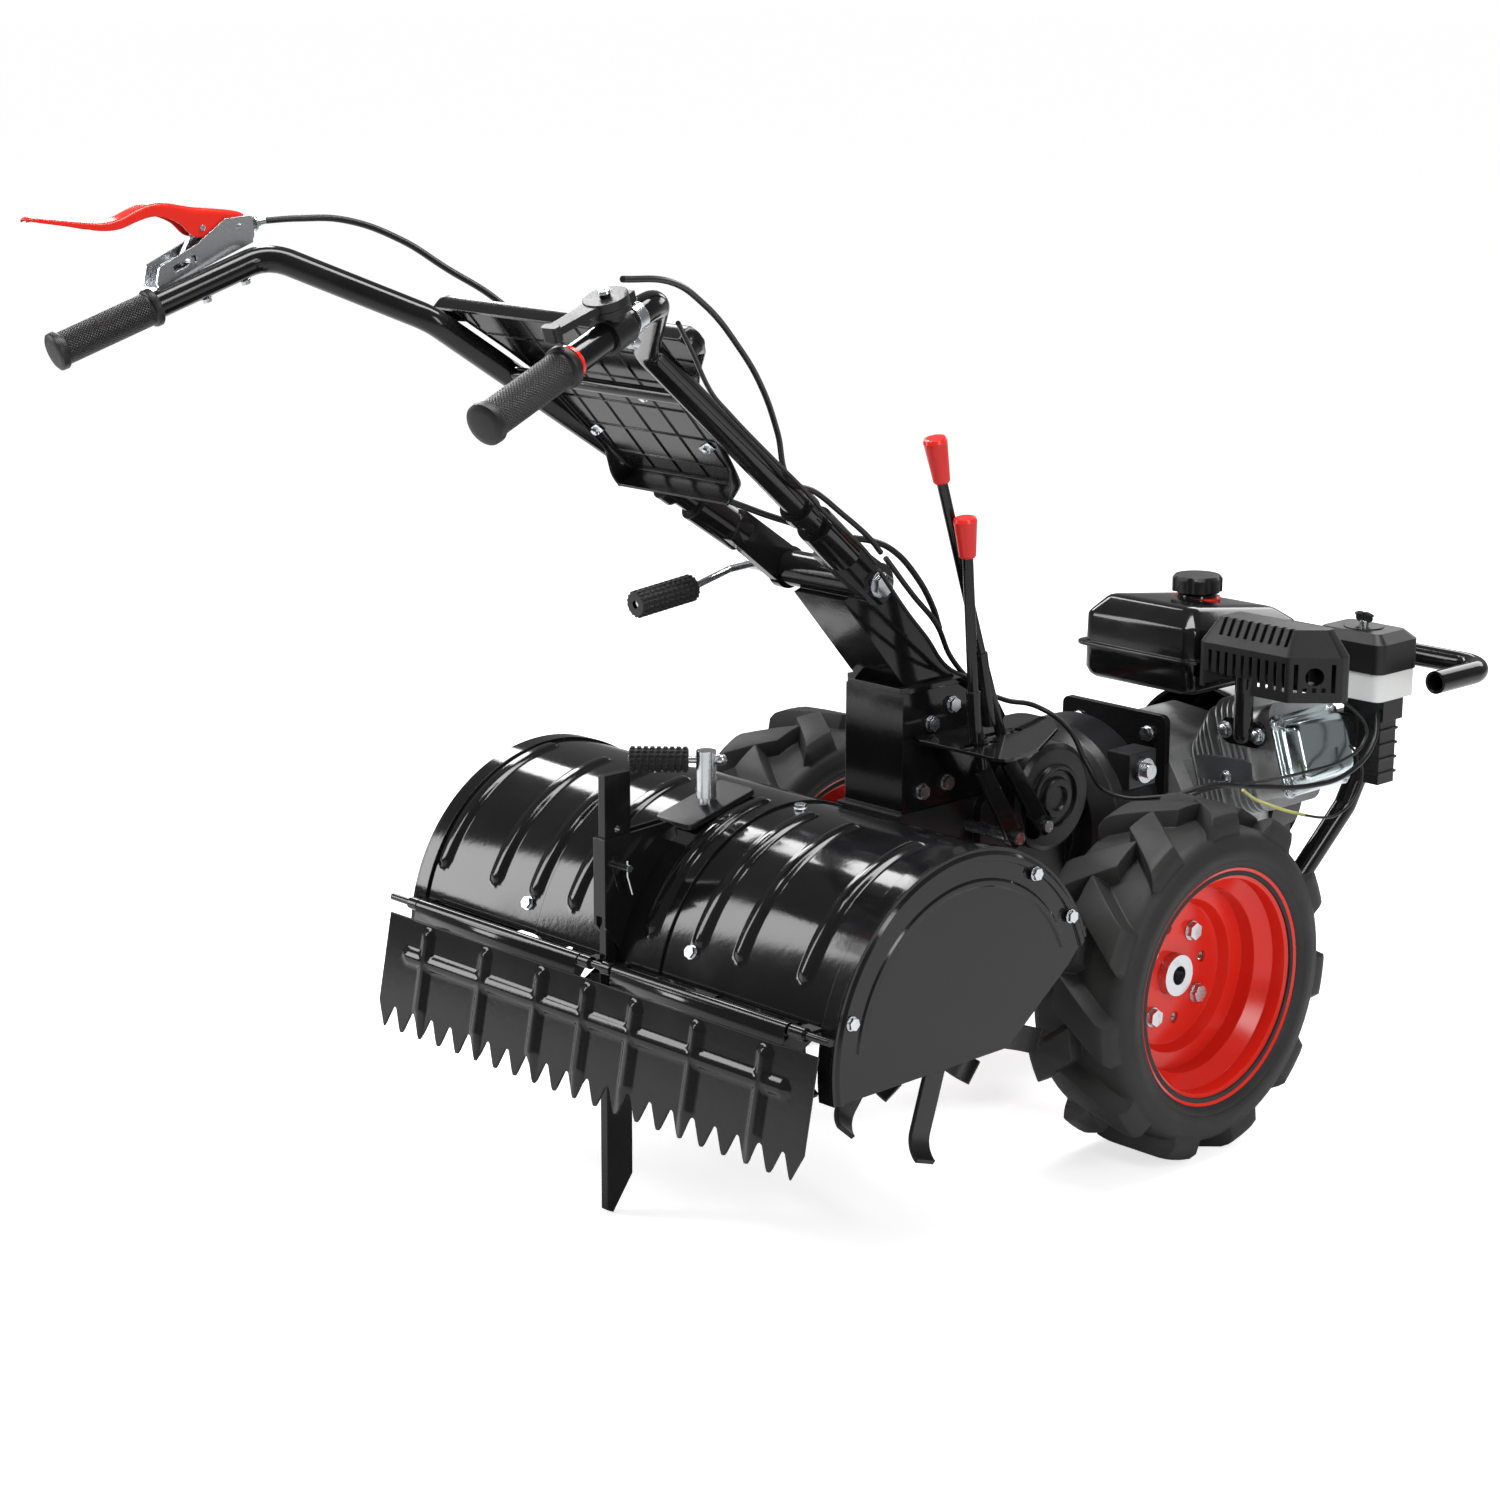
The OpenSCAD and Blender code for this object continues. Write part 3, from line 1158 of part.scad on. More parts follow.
module clamp_grip() color(rubber_black) {
    d = unit([0, -461, 634] - [0, -378, 642]);
    translate([clamp_x, -380, 641.8]) along(d) knurled_grip(84, 15, 4 + seat);
}

// ---------- fasteners ----------
module frame_bolts() color(zinc) {
    // pivot bolt of the handlebars, long enough on the left for the clamp lever
    x_rod(clamp_x - 14, pivot_half_w + eye_t + 2 * gap, pivot_y, pivot_z, pivot_bolt_r - run);
    x_rod(clamp_x - 18, clamp_x - 8 - gap, pivot_y, pivot_z, 11);
    translate([pivot_half_w + eye_t + 2 * gap, pivot_y, pivot_z]) rotate([0, 90, 0]) hex_bolt(15, gap / 2);
    for (p = frame_bolt_spots, s = [-1, 1]) translate([s * (bracket_half_w + seat), p[0], p[1]])
        rotate([0, s * 90, 0]) hex_bolt(10, 8);
    for (sx = [-1, 1], sz = [-1, 1]) translate([sx * 55, plate_y - seat, crank_z + sz * 94])
        rotate([90, 0, 0]) hex_bolt(10, 1);
    for (b = hood_bolts) hood_frame() rotate([0, 0, b[1]]) translate([hood_r + seat, 0, b[0]])
        rotate([0, 90, 0]) hex_bolt(8, 4);
    both_sides() for (a = [58, 32, 163]) hood_frame() rotate([0, 0, a])
        translate([hood_r - 12, 0, hood_half_w + 6 + seat]) hex_bolt(8, seat / 2);
    x_rod(118.2, 124, 136, 386, 15);
    x_rod(124, 132, 136, 386, 9);
    x_rod(104, 124, 136, 386, 5.9);
    // selector shafts that carry the shift levers
    for (s = [[lane_a, stem_a[3]], [lane_b, stem_b[3]]])
        x_rod(case_half_w - 16, s[0] + 10, s[1][0], s[1][1], selector_r);
}

// ---------- cables ----------
module handle_cables() color(plastic_black) for (p = handle_routes) cord(p, cable_r);
module frame_cables() color(plastic_black) for (p = frame_routes) cord(p, cable_r);

place() gear_case();
place() clutch_cover();
place() drive_housing();
place() engine_mount();
place() bumper();
place() mast_bracket();
place() mast();
place() gate_plate();
place() axle();
place() rim_left();
place() rim_right();
place() tyre_left();
place() tyre_right();
place() wheel_bolts();
place() crankcase();
place() cylinder_barrel();
place() cylinder_head();
place() valve_cover();
place() exhaust_pipe();
place() muffler_cover();
place() fuel_tank();
place() fuel_cap();
place() fan_housing();
place() starter_grip();
place() air_filter_cover();
place() air_filter_body();
place() carburettor();
place() hood_left();
place() hood_centre();
place() hood_right();
place() end_plate_left();
place() end_plate_right();
place() tine_case();
place() rotor_shaft();
place() tines();
place() flap();
place() flap_rod();
place() stake_bracket();
place() stake();
place() stake_pin();
place() depth_post();
place() post_grip();
place() handlebar_left();
place() handlebar_right();
place() console();
place() hand_grips();
place() clutch_bracket();
place() clutch_lever();
place() clutch_link();
place() throttle_body();
place() throttle_lever();
place() shift_lever_a();
place() shift_knob_a();
place() shift_lever_b();
place() shift_knob_b();
place() clamp_lever();
place() clamp_grip();
place() frame_bolts();
place() frame_cables();
place() handle_cables();
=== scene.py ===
import math

import bpy
from mathutils import Matrix, Vector


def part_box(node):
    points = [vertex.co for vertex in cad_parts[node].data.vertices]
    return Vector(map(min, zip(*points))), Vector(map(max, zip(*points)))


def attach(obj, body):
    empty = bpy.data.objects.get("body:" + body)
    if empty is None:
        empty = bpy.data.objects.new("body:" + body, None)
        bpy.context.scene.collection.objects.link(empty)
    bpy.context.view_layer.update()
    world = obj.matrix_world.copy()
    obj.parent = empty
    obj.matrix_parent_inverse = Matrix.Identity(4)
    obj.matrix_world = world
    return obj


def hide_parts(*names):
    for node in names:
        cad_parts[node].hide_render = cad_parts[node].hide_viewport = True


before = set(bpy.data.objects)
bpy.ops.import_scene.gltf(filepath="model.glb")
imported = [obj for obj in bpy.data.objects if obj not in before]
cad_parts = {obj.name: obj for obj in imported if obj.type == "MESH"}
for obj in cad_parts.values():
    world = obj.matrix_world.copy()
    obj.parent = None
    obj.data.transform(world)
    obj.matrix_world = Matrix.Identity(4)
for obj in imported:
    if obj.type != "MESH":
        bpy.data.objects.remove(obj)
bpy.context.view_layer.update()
axleLow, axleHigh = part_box("axle")
axleY = (axleLow.y + axleHigh.y) / 2  # the machine is measured from its wheel axle
print("frame loaded:", len(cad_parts), "nodes")


def at(x, y, z):
    # a place on the machine, in millimetres from the axle, as a point of the frame
    return Vector((x / 1000, axleY + y / 1000, z / 1000))


# Shader maths
class Wire:
    # one shader socket; arithmetic on it adds Math nodes
    def __init__(self, surface, socket):
        self.surface = surface
        self.socket = socket

    def maths(self, operation, *others):
        return self.surface.maths(operation, self, *others)

    def __add__(self, other):
        return self.maths("ADD", other)

    def __sub__(self, other):
        return self.maths("SUBTRACT", other)

    def __mul__(self, other):
        return self.maths("MULTIPLY", other)

    def __radd__(self, other):
        return self.surface.maths("ADD", other, self)

    def __rsub__(self, other):
        return self.surface.maths("SUBTRACT", other, self)

    def sine(self):
        return self.maths("SINE")

    def absolute(self):
        return self.maths("ABSOLUTE")

    def power(self, exponent):
        return self.maths("POWER", exponent)

    def above(self, low, high):
        # 0 below low, 1 above high, smooth between
        return self.surface.add("ShaderNodeMapRange", {"interpolation_type": "SMOOTHSTEP"},
                                **{"Value": self, "From Min": low, "From Max": high})


class Surface:
    # a material under construction; add() makes any node
    def __init__(self, name):
        self.material = bpy.data.materials.new(name)
        self.material.use_nodes = True
        self.tree = self.material.node_tree
        self.tree.nodes.clear()
        self.output = self.tree.nodes.new("ShaderNodeOutputMaterial")
        self.coords = self.tree.nodes.new("ShaderNodeTexCoord").outputs["Object"]

    def feed(self, socket, value):
        if isinstance(value, Wire):
            self.tree.links.new(value.socket, socket)
        elif hasattr(value, "is_output"):
            self.tree.links.new(value, socket)
        elif hasattr(socket.default_value, "__len__") and hasattr(value, "__len__") \
                and len(value) == 3 and len(socket.default_value) == 4:
            socket.default_value = (*value, 1)
        else:
            socket.default_value = value

    def add(self, kind, settings=None, *ordered, **named):
        node = self.tree.nodes.new(kind)
        for key, value in (settings or {}).items():
            setattr(node, key, value)
        for socket, value in zip(node.inputs, ordered):
            self.feed(socket, value)
        for key, value in named.items():
            self.feed(node.inputs[key], value)
        return Wire(self, node.outputs[0])

    def maths(self, operation, *inputs):
        return self.add("ShaderNodeMath", {"operation": operation}, *inputs)

    def noise(self, scale, detail, roughness=0.5):
        return self.add("ShaderNodeTexNoise", None, Vector=self.coords, Scale=scale, Detail=detail,
                        Roughness=roughness)

    def blend(self, factor, first, second):
        node = self.tree.nodes.new("ShaderNodeMix")
        node.data_type = "RGBA"
        self.feed(node.inputs[0], factor)
        self.feed(node.inputs[6], first)
        self.feed(node.inputs[7], second)
        return Wire(self, node.outputs[2])

    def heightMap(self, height, depth, edge=0.0):
        # a bump of that depth in metres, over edges that the light sees as rounded
        named = {"Height": height, "Distance": depth, "Strength": 1.0}
        if edge:
            named["Normal"] = self.add("ShaderNodeBevel", {"samples": 4}, **{"Radius": edge})
        return self.add("ShaderNodeBump", None, **named)

    def finish(self, **sockets):
        shader = self.tree.nodes.new("ShaderNodeBsdfPrincipled")
        for key, value in sockets.items():
            self.feed(shader.inputs[key.replace("_", " ")], value)
        self.tree.links.new(shader.outputs[0], self.output.inputs["Surface"])
        return self.material


# Finishes
def paintedSurface(name, finish):
    s = Surface(name)
    peel = s.noise(finish["peelScale"], 2)
    handling = s.noise(7, 5, 0.62)
    dust = s.noise(140, 6, 0.7).above(0.62, 0.8)
    film = handling.above(0.42, 0.75)
    colour = s.blend(film * finish["filmAmount"], finish["colour"], finish["filmColour"])
    colour = s.blend(dust * finish["dustAmount"], colour, finish["dustColour"])
    rough = finish["roughness"] + film * finish["roughSpread"] + dust * 0.08
    return s.finish(Base_Color=colour, Roughness=rough, Specular_IOR_Level=finish["specular"],
                    Normal=s.heightMap(peel, finish["peelDepth"], finish["edge"]))


glossPaint = {"colour": (0.006, 0.006, 0.0065), "filmColour": (0.012, 0.012, 0.013), "filmAmount": 0.7,
              "dustColour": (0.05, 0.05, 0.048), "dustAmount": 0.1, "roughness": 0.09,
              "roughSpread": 0.06, "specular": 0.34, "peelScale": 170, "peelDepth": 0.00004,
              "edge": 0.0014}
castPaint = {**glossPaint, "colour": (0.008, 0.008, 0.009), "roughness": 0.3, "roughSpread": 0.12,
             "peelScale": 420, "peelDepth": 0.00018, "specular": 0.36, "edge": 0.0022}
redPaint = {**glossPaint, "colour": (0.69, 0.022, 0.012), "filmColour": (0.6, 0.018, 0.01),
            "dustColour": (0.55, 0.12, 0.09), "dustAmount": 0.12, "roughness": 0.16, "edge": 0.0012}
knobPaint = {**redPaint, "colour": (0.66, 0.02, 0.016), "roughness": 0.28, "edge": 0.0008}
ironPaint = {**castPaint, "colour": (0.012, 0.012, 0.013), "dustColour": (0.09, 0.075, 0.06),
             "dustAmount": 0.3, "roughness": 0.34}


def metalSurface(name, finish):
    s = Surface(name)
    grain = s.noise(finish["grainScale"], 4, 0.6)
    patches = s.noise(38, 5, 0.6)
    tarnish = patches.above(0.5, 0.78)
    colour = s.blend(tarnish, finish["colour"], finish["tarnishColour"])
    rough = finish["roughness"] + grain * finish["roughSpread"] + tarnish * 0.12
    return s.finish(Base_Color=colour, Metallic=finish["metallic"], Roughness=rough,
                    Normal=s.heightMap(grain, finish["grainDepth"], finish["edge"]))


zincPlate = {"colour": (0.62, 0.64, 0.66), "tarnishColour": (0.44, 0.46, 0.49), "metallic": 1.0,
             "roughness": 0.18, "roughSpread": 0.14, "grainScale": 260, "grainDepth": 0.000015,
             "edge": 0.0006}
coverPlate = {**zincPlate, "colour": (0.66, 0.75, 0.78), "tarnishColour": (0.56, 0.65, 0.69),
              "roughness": 0.13, "roughSpread": 0.08, "grainDepth": 0.00001, "edge": 0.002}
castAlloy = {**zincPlate, "colour": (0.5, 0.505, 0.51), "tarnishColour": (0.33, 0.33, 0.335),
             "metallic": 0.85, "roughness": 0.38, "roughSpread": 0.2, "grainScale": 480,
             "grainDepth": 0.00012, "edge": 0.0008}


def mouldedSurface(name, finish):
    s = Surface(name)
    grain = s.noise(finish["grainScale"], 3, 0.55)
    handled = s.noise(11, 4, 0.6).above(0.4, 0.72)
    dust = s.noise(190, 6, 0.7).above(0.6, 0.82)
    colour = s.blend(handled * 0.6, finish["colour"], finish["handledColour"])
    colour = s.blend(dust * finish["dustAmount"], colour, finish["dustColour"])
    rough = finish["roughness"] + grain * 0.12 - handled * 0.06
    return s.finish(Base_Color=colour, Roughness=rough, Specular_IOR_Level=finish["specular"],
                    Normal=s.heightMap(grain, finish["grainDepth"], finish["edge"]))


blackPlastic = {"colour": (0.007, 0.007, 0.0075), "handledColour": (0.011, 0.011, 0.012),
                "dustColour": (0.06, 0.06, 0.058), "dustAmount": 0.15, "roughness": 0.32,
                "specular": 0.36, "grainScale": 620, "grainDepth": 0.00012, "edge": 0.0012}
filterPlastic = {**blackPlastic, "colour": (0.7, 0.71, 0.7), "handledColour": (0.62, 0.63, 0.63),
                 "dustColour": (0.4, 0.39, 0.36), "roughness": 0.3, "edge": 0.002}
tyreRubber = {**blackPlastic, "colour": (0.016, 0.016, 0.016), "handledColour": (0.024, 0.023, 0.022),
              "dustColour": (0.07, 0.065, 0.06), "dustAmount": 0.28, "roughness": 0.5,
              "specular": 0.3, "grainScale": 900, "grainDepth": 0.0002, "edge": 0.002}
gripRubber = {**tyreRubber, "roughness": 0.42, "specular": 0.35}

finishes = {
    "paint_black": paintedSurface("glossBlackPaint", glossPaint),
    "cast_black": paintedSurface("paintedCasting", castPaint),
    "iron_black": paintedSurface("paintedIron", ironPaint),
    "signal_red": paintedSurface("glossRedPaint", redPaint),
    "knob_red": paintedSurface("redKnobPlastic", knobPaint),
    "zinc": metalSurface("brightZinc", zincPlate),
    "zinc_blue": metalSurface("blueZincCover", coverPlate),
    "alloy": metalSurface("castAluminium", castAlloy),
    "plastic_black": mouldedSurface("blackPlastic", blackPlastic),
    "filter_grey": mouldedSurface("filterPlastic", filterPlastic),
    "rubber_black": mouldedSurface("gripRubber", gripRubber),
    "tyre_black": mouldedSurface("tyreRubber", tyreRubber),
}

slotOfNode = {}
for name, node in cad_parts.items():
    for place in node.material_slots:
        slotOfNode[name] = place.material.name.split(".")[0]
        place.material = finishes.get(slotOfNode[name], finishes["paint_black"])
print("finishes given to the packed nodes:", sorted(set(slotOfNode.values())))


# Modelling helpers
def openMesh():
    bpy.ops.object.mode_set(mode="EDIT")


def closeMesh():
    bpy.ops.object.mode_set(mode="OBJECT")


def settle():
    # turns the selected pieces' places, turns and scales into their meshes
    bpy.ops.object.transform_apply(location=True, rotation=True, scale=True)


def makeActive(piece):
    letGo()
    piece.select_set(True)
    bpy.context.view_layer.objects.active = piece


def placeOn(piece, place, direction):
    # moves a piece made around the origin to the place, its Z axis along the direction
    turn = Vector(direction).to_track_quat("Z", "Y").to_matrix().to_4x4()
    piece.data.transform(Matrix.Translation(place) @ turn)


def ringOf(name, profile, steps=32):
    # turns a profile of (radius, height) round the origin's Z axis
    return spinPath(name, [(r, 0, z) for r, z in profile], (0, 0, 0), (0, 0, 1), 360, steps)


def letGo():
    # nothing selected and no mesh open, because an operator acts on all that is selected
    if bpy.context.object and bpy.context.object.mode != "OBJECT":
        closeMesh()
    bpy.ops.object.select_all(action="DESELECT")


def newest(name):
    piece = bpy.context.object
    piece.name = name
    piece.data.name = name
    return piece


def selectPoints(piece, test):
    # selects the points of the open mesh that pass the test
    closeMesh()
    for polygon in piece.data.polygons:
        polygon.select = False
    for edge in piece.data.edges:
        edge.select = False
    for vertex in piece.data.vertices:
        vertex.select = bool(test(vertex.co))
    openMesh()
    bpy.ops.mesh.select_mode(type="VERT")


def sketchPath(name, points):
    # an open line, drawn point by point
    letGo()
    bpy.ops.mesh.primitive_plane_add(size=0.001, location=points[0])
    piece = newest(name)
    settle()
    openMesh()
    bpy.ops.mesh.select_mode(type="VERT")
    bpy.ops.mesh.select_all(action="SELECT")
    bpy.ops.mesh.merge(type="CENTER")
    for here, there in zip(points, points[1:]):
        bpy.ops.mesh.extrude_vertices_move(
            TRANSFORM_OT_translate={"value": Vector(there) - Vector(here)})
    return piece


def spinPath(name, points, centre, axis, degrees=360, steps=72):
    piece = sketchPath(name, points)
    bpy.ops.mesh.select_all(action="SELECT")
    bpy.ops.mesh.spin(steps=steps, angle=math.radians(degrees), center=centre, axis=axis)
    bpy.ops.mesh.select_all(action="SELECT")
    bpy.ops.mesh.remove_doubles(threshold=0.00002)
    bpy.ops.mesh.normals_make_consistent(inside=False)
    closeMesh()
    return piece


def stackSections(name, centre, width, length, corner, levels):
    # a rounded rectangle drawn up through levels of (height, inset)
    letGo()
    bpy.ops.mesh.primitive_plane_add(size=1, location=(centre.x, centre.y, centre.z + levels[0][0]))
    piece = newest(name)
    inset = levels[0][1]
    piece.scale = (width - 2 * inset, length - 2 * inset, 1)
    settle()
    openMesh()
    bpy.ops.mesh.select_mode(type="VERT")
    bpy.ops.mesh.select_all(action="SELECT")
    bpy.ops.mesh.bevel(offset=corner, affect="VERTICES", segments=7)
    bpy.ops.mesh.select_mode(type="FACE")
    bpy.ops.mesh.select_all(action="SELECT")
    for (height, wide), (nextHeight, nextWide) in zip(levels, levels[1:]):
        bpy.ops.mesh.extrude_region_move(
            TRANSFORM_OT_translate={"value": (0, 0, nextHeight - height)})
        bpy.ops.transform.resize(
            value=((width - 2 * nextWide) / (width - 2 * wide),
                   (length - 2 * nextWide) / (length - 2 * wide), 1),
            center_override=(centre.x, centre.y, centre.z + nextHeight))
    bpy.ops.mesh.select_all(action="SELECT")
    bpy.ops.mesh.normals_make_consistent(inside=False)
    closeMesh()
    return piece


def drawWire(name, points, radius, rounds=3, steps=8, handles="AUTO", wall=0.0):
    # a wire or cable along a smooth line; with VECTOR handles, a tube along straight steps
    letGo()
    bpy.ops.curve.primitive_bezier_curve_add(location=(0, 0, 0))
    piece = bpy.context.object
    piece.name = name
    piece.data.name = name
    spline = piece.data.splines[0]
    spline.bezier_points.add(len(points) - len(spline.bezier_points))
    for knot, point in zip(spline.bezier_points, points):
        knot.co = point
        knot.handle_left_type = knot.handle_right_type = handles
    piece.data.resolution_u = steps
    piece.data.bevel_depth = radius
    piece.data.bevel_resolution = rounds
    piece.data.use_fill_caps = not wall
    bpy.ops.object.convert(target="MESH")
    piece = bpy.context.object
    if wall:
        giveWall(piece, wall)
    return piece


def filletPath(corners, bend, steps):
    # straight runs between the corners, joined by arcs of one radius
    path = [corners[0]]
    for before, corner, after in zip(corners, corners[1:], corners[2:]):
        back, ahead = (before - corner).normalized(), (after - corner).normalized()
        half = back.angle(ahead) / 2
        centre = corner + (back + ahead).normalized() * bend / math.sin(half)
        start = corner + back * bend / math.tan(half) - centre
        end = corner + ahead * bend / math.tan(half) - centre
        for i in range(steps + 1):
            turn = Matrix.Rotation(start.angle(end) * i / steps, 3, start.cross(end))
            path.append(centre + turn @ start)
    path.append(corners[-1])
    return path


def drawTube(name, corners, bend, steps, radius, rounds=10, wall=0.0):
    return drawWire(name, filletPath(corners, bend, steps), radius, rounds, 1, "VECTOR", wall)


def joinPieces(name, pieces):
    letGo()
    for piece in pieces:
        piece.select_set(True)
    bpy.context.view_layer.objects.active = pieces[0]
    bpy.ops.object.join()
    return newest(name)


def copyOf(piece, name):
    twin = piece.copy()
    twin.data = piece.data.copy()
    twin.name = name
    twin.data.name = name
    bpy.context.scene.collection.objects.link(twin)
    return twin


def applyModifiers(piece):
    makeActive(piece)
    for modifier in list(piece.modifiers):
        bpy.ops.object.modifier_apply(modifier=modifier.name)


def roundEdges(piece, width, segments=2, angle=30):
    modifier = piece.modifiers.new("roundEdges", "BEVEL")
    modifier.width = width
    modifier.segments = segments
    modifier.limit_method = "ANGLE"
    modifier.angle_limit = math.radians(angle)
    applyModifiers(piece)


def giveWall(piece, thickness, side=-1):
    modifier = piece.modifiers.new("wall", "SOLIDIFY")
    modifier.thickness = thickness
    modifier.offset = side
    applyModifiers(piece)


def mirrored(piece, name):
    # the same piece for the machine's other side
    twin = copyOf(piece, name)
    for vertex in twin.data.vertices:
        vertex.co.x = -vertex.co.x
    makeActive(twin)
    openMesh()
    bpy.ops.mesh.select_all(action="SELECT")
    bpy.ops.mesh.flip_normals()
    closeMesh()
    return twin


def shapedGrid(name, across, along, place):
    # a sheet whose points are set by place(u, v), with u and v from 0 to 1
    letGo()
    bpy.ops.mesh.primitive_grid_add(x_subdivisions=across, y_subdivisions=along, size=1)
    piece = newest(name)
    for vertex in piece.data.vertices:
        vertex.co = place(vertex.co.x + 0.5, vertex.co.y + 0.5)
    return piece


def block(name, centre, size, turn=None, edge=0.0008, segments=2):
    # a bar or plate with rounded edges; turn is a matrix about its centre
    letGo()
    bpy.ops.mesh.primitive_cube_add(size=1, location=(0, 0, 0))
    piece = newest(name)
    piece.scale = size
    settle()
    roundEdges(piece, edge, segments)
    piece.data.transform(Matrix.Translation(centre) @ (turn.to_4x4() if turn else Matrix.Identity(4)))
    return piece


def boltHead(place, direction, size):
    # a hex head on its washer; size is the thread in millimetres
    s = size / 1000
    letGo()
    bpy.ops.mesh.primitive_cylinder_add(vertices=6, radius=0.95 * s, depth=0.66 * s,
                                        location=(0, 0, 0.52 * s))
    head = newest("boltHead")
    settle()
    roundEdges(head, 0.07 * s, 2)
    washer = ringOf("washer", [(1.28 * s, 0), (1.28 * s, 0.14 * s), (1.2 * s, 0.2 * s),
                               (0.3 * s, 0.2 * s)], 24)
    whole = joinPieces("boltWithWasher", [head, washer])
    placeOn(whole, place, direction)
    return whole


def fit(piece, body, finish, *replaced, angle=35, material=None):
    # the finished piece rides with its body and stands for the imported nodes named
    makeActive(piece)
    settle()
    bpy.ops.object.shade_smooth_by_angle(angle=math.radians(angle))
    piece.data.materials.clear()
    piece.data.materials.append(finishes[material or finish])
    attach(piece, body)
    if replaced:
        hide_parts(*replaced)
    return piece


# Tyres
tyre = {"x": 290, "height": 202, "lugs": 11, "lean": 36, "lugLength": 112, "lugBase": 50,
        "lugTop": 29, "phase": 0.25, "lugHeight": 0.044,
        "lugSpot": Vector((0.025, -0.0029, 0.186)),  # the lug's middle, from the wheel's
        # half of the casing's section from the rim outwards: distance from the middle, radius
        "casing": [(54, 128), (54.5, 139), (57.5, 141), (60.2, 146), (60.4, 149), (61.4, 150),
                   (61.6, 158), (60.6, 160), (60, 166), (56.5, 172), (48, 175.5)],
        "crown": 177, "casingWall": 0.006,
        "envelope": [(-12, 150), (59.2, 150), (61.4, 160), (61.4, 186), (60, 191), (55.5, 199),
                     (48, 202), (-12, 202), (-12, 150)]}


def buildTyre():
    wheel = at(tyre["x"], 0, tyre["height"])

    def spot(axial, radius):
        return (wheel.x + axial / 1000, wheel.y, wheel.z + radius / 1000)

    half = tyre["casing"]
    section = [(-axial, radius) for axial, radius in half] + [(0, tyre["crown"])] + half[::-1]
    casing = spinPath("tyreCasing", [spot(*p) for p in section], wheel, (1, 0, 0), steps=88)
    giveWall(casing, tyre["casingWall"], 1)
    envelope = spinPath("lugEnvelope", [spot(*p) for p in tyre["envelope"]], wheel, (1, 0, 0),
                        steps=88)
    lean = math.radians(tyre["lean"])
    letGo()
    bpy.ops.mesh.primitive_cube_add(size=1, location=wheel + tyre["lugSpot"])
    lug = newest("tyreLug")
    lug.scale = (tyre["lugLength"] / 1000, tyre["lugBase"] / 1000, tyre["lugHeight"])
    lug.rotation_euler = (0, 0, -lean)
    settle()
    selectPoints(lug, lambda p: p.z > wheel.z + tyre["lugSpot"].z)
    narrow = tyre["lugTop"] / tyre["lugBase"]
    turn = Matrix.Rotation(-lean, 3, "Z")
    bpy.ops.transform.resize(value=(1, narrow, 1), orient_type="LOCAL", orient_matrix=turn,
                             orient_matrix_type="LOCAL",
                             center_override=wheel + tyre["lugSpot"] + Vector((0, 0, tyre["lugHeight"] / 2)))
    closeMesh()
    trim = lug.modifiers.new("trim", "BOOLEAN")
    trim.operation = "INTERSECT"
    trim.object = envelope
    applyModifiers(lug)
    roundEdges(lug, 0.0022, 2, 28)
    lugs = []
    for i in range(tyre["lugs"]):
        for side, phase in ((1, tyre["phase"]), (-1, tyre["phase"] + 0.5)):
            turnBy = math.radians((i + phase) * 360 / tyre["lugs"] - 180)
            placed = copyOf(lug, "lug")
            flip = Matrix.Diagonal((side, 1, 1, 1))
            move = (Matrix.Translation(wheel) @ Matrix.Rotation(turnBy, 4, "X") @ flip
                    @ Matrix.Translation(-wheel))
            placed.data.transform(move)
            if side < 0:
                placed.data.flip_normals()
            lugs.append(placed)
    bpy.data.objects.remove(lug)
    bpy.data.objects.remove(envelope)
    right = joinPieces("tyreRight", [casing, *lugs])
    left = mirrored(right, "tyreLeft")
    fit(right, "wheels", "tyre_black", "tyre_right", angle=40)
    fit(left, "wheels", "tyre_black", "tyre_left", angle=40)


buildTyre()
print("tyres done")


# Hood
hood = {"axis": at(0, -405, 238), "radius": 195, "front": 20, "rear": 167, "ribFrom": 95, "ribTo": 152,
        "ribHeight": 4.2, "ribHalf": 9.5, "sheet": 0.0025, "rowStep": 1.25, "columnStep": 2.4,
        # openings in the middle sheet: middle of the cut, its half width and half length
        "postCut": (at(0, -467, 0), 0.0335, 0.0525), "stakeCut": (at(2, -604, 0), 0.0065, 0.034)}


def ribReach(half, level, levels):
    # how far from a rib's middle line the sheet still rises at this level
    return half * math.cos(math.asin((level + 0.5) / levels)) ** 0.8


def pressRibs(piece, ribs, radius):
    # each rib is pressed out of the sheet in rounded steps
    axis = hood["axis"]
    low, high = math.radians(hood["ribFrom"]), math.radians(hood["ribTo"])
    levels = 6
    for level in range(levels):
        reach = ribReach(hood["ribHalf"], level, levels)

        def inside(p):
            angle = math.atan2(p.z - axis.z, p.y - axis.y)
            along = max(0.0, low - angle, angle - high) * radius
            return any(math.hypot(p.x * 1000 - rib, along) < reach for rib in ribs)

        selectPoints(piece, inside)
        grow = 1 + hood["ribHeight"] / levels / radius
        bpy.ops.transform.resize(value=(1, grow, grow), center_override=axis)
    closeMesh()


def hoodSheet(name, x0, x1, radius, front, ribs, extra=()):
    axis = hood["axis"]
    count = round((x1 - x0) / hood["columnStep"])
    columns = sorted(set([x0 + (x1 - x0) * i / count for i in range(count + 1)]) | set(extra))
    start = math.radians(front)
    y = axis.y + radius / 1000 * math.cos(start)
    z = axis.z + radius / 1000 * math.sin(start)
    path = [(x / 1000, y, z) for x in columns]
    steps = round((hood["rear"] - front) / hood["rowStep"])
    sheet = spinPath(name, path, axis, (1, 0, 0), front - hood["rear"], steps)
    pressRibs(sheet, ribs, radius)
    return sheet


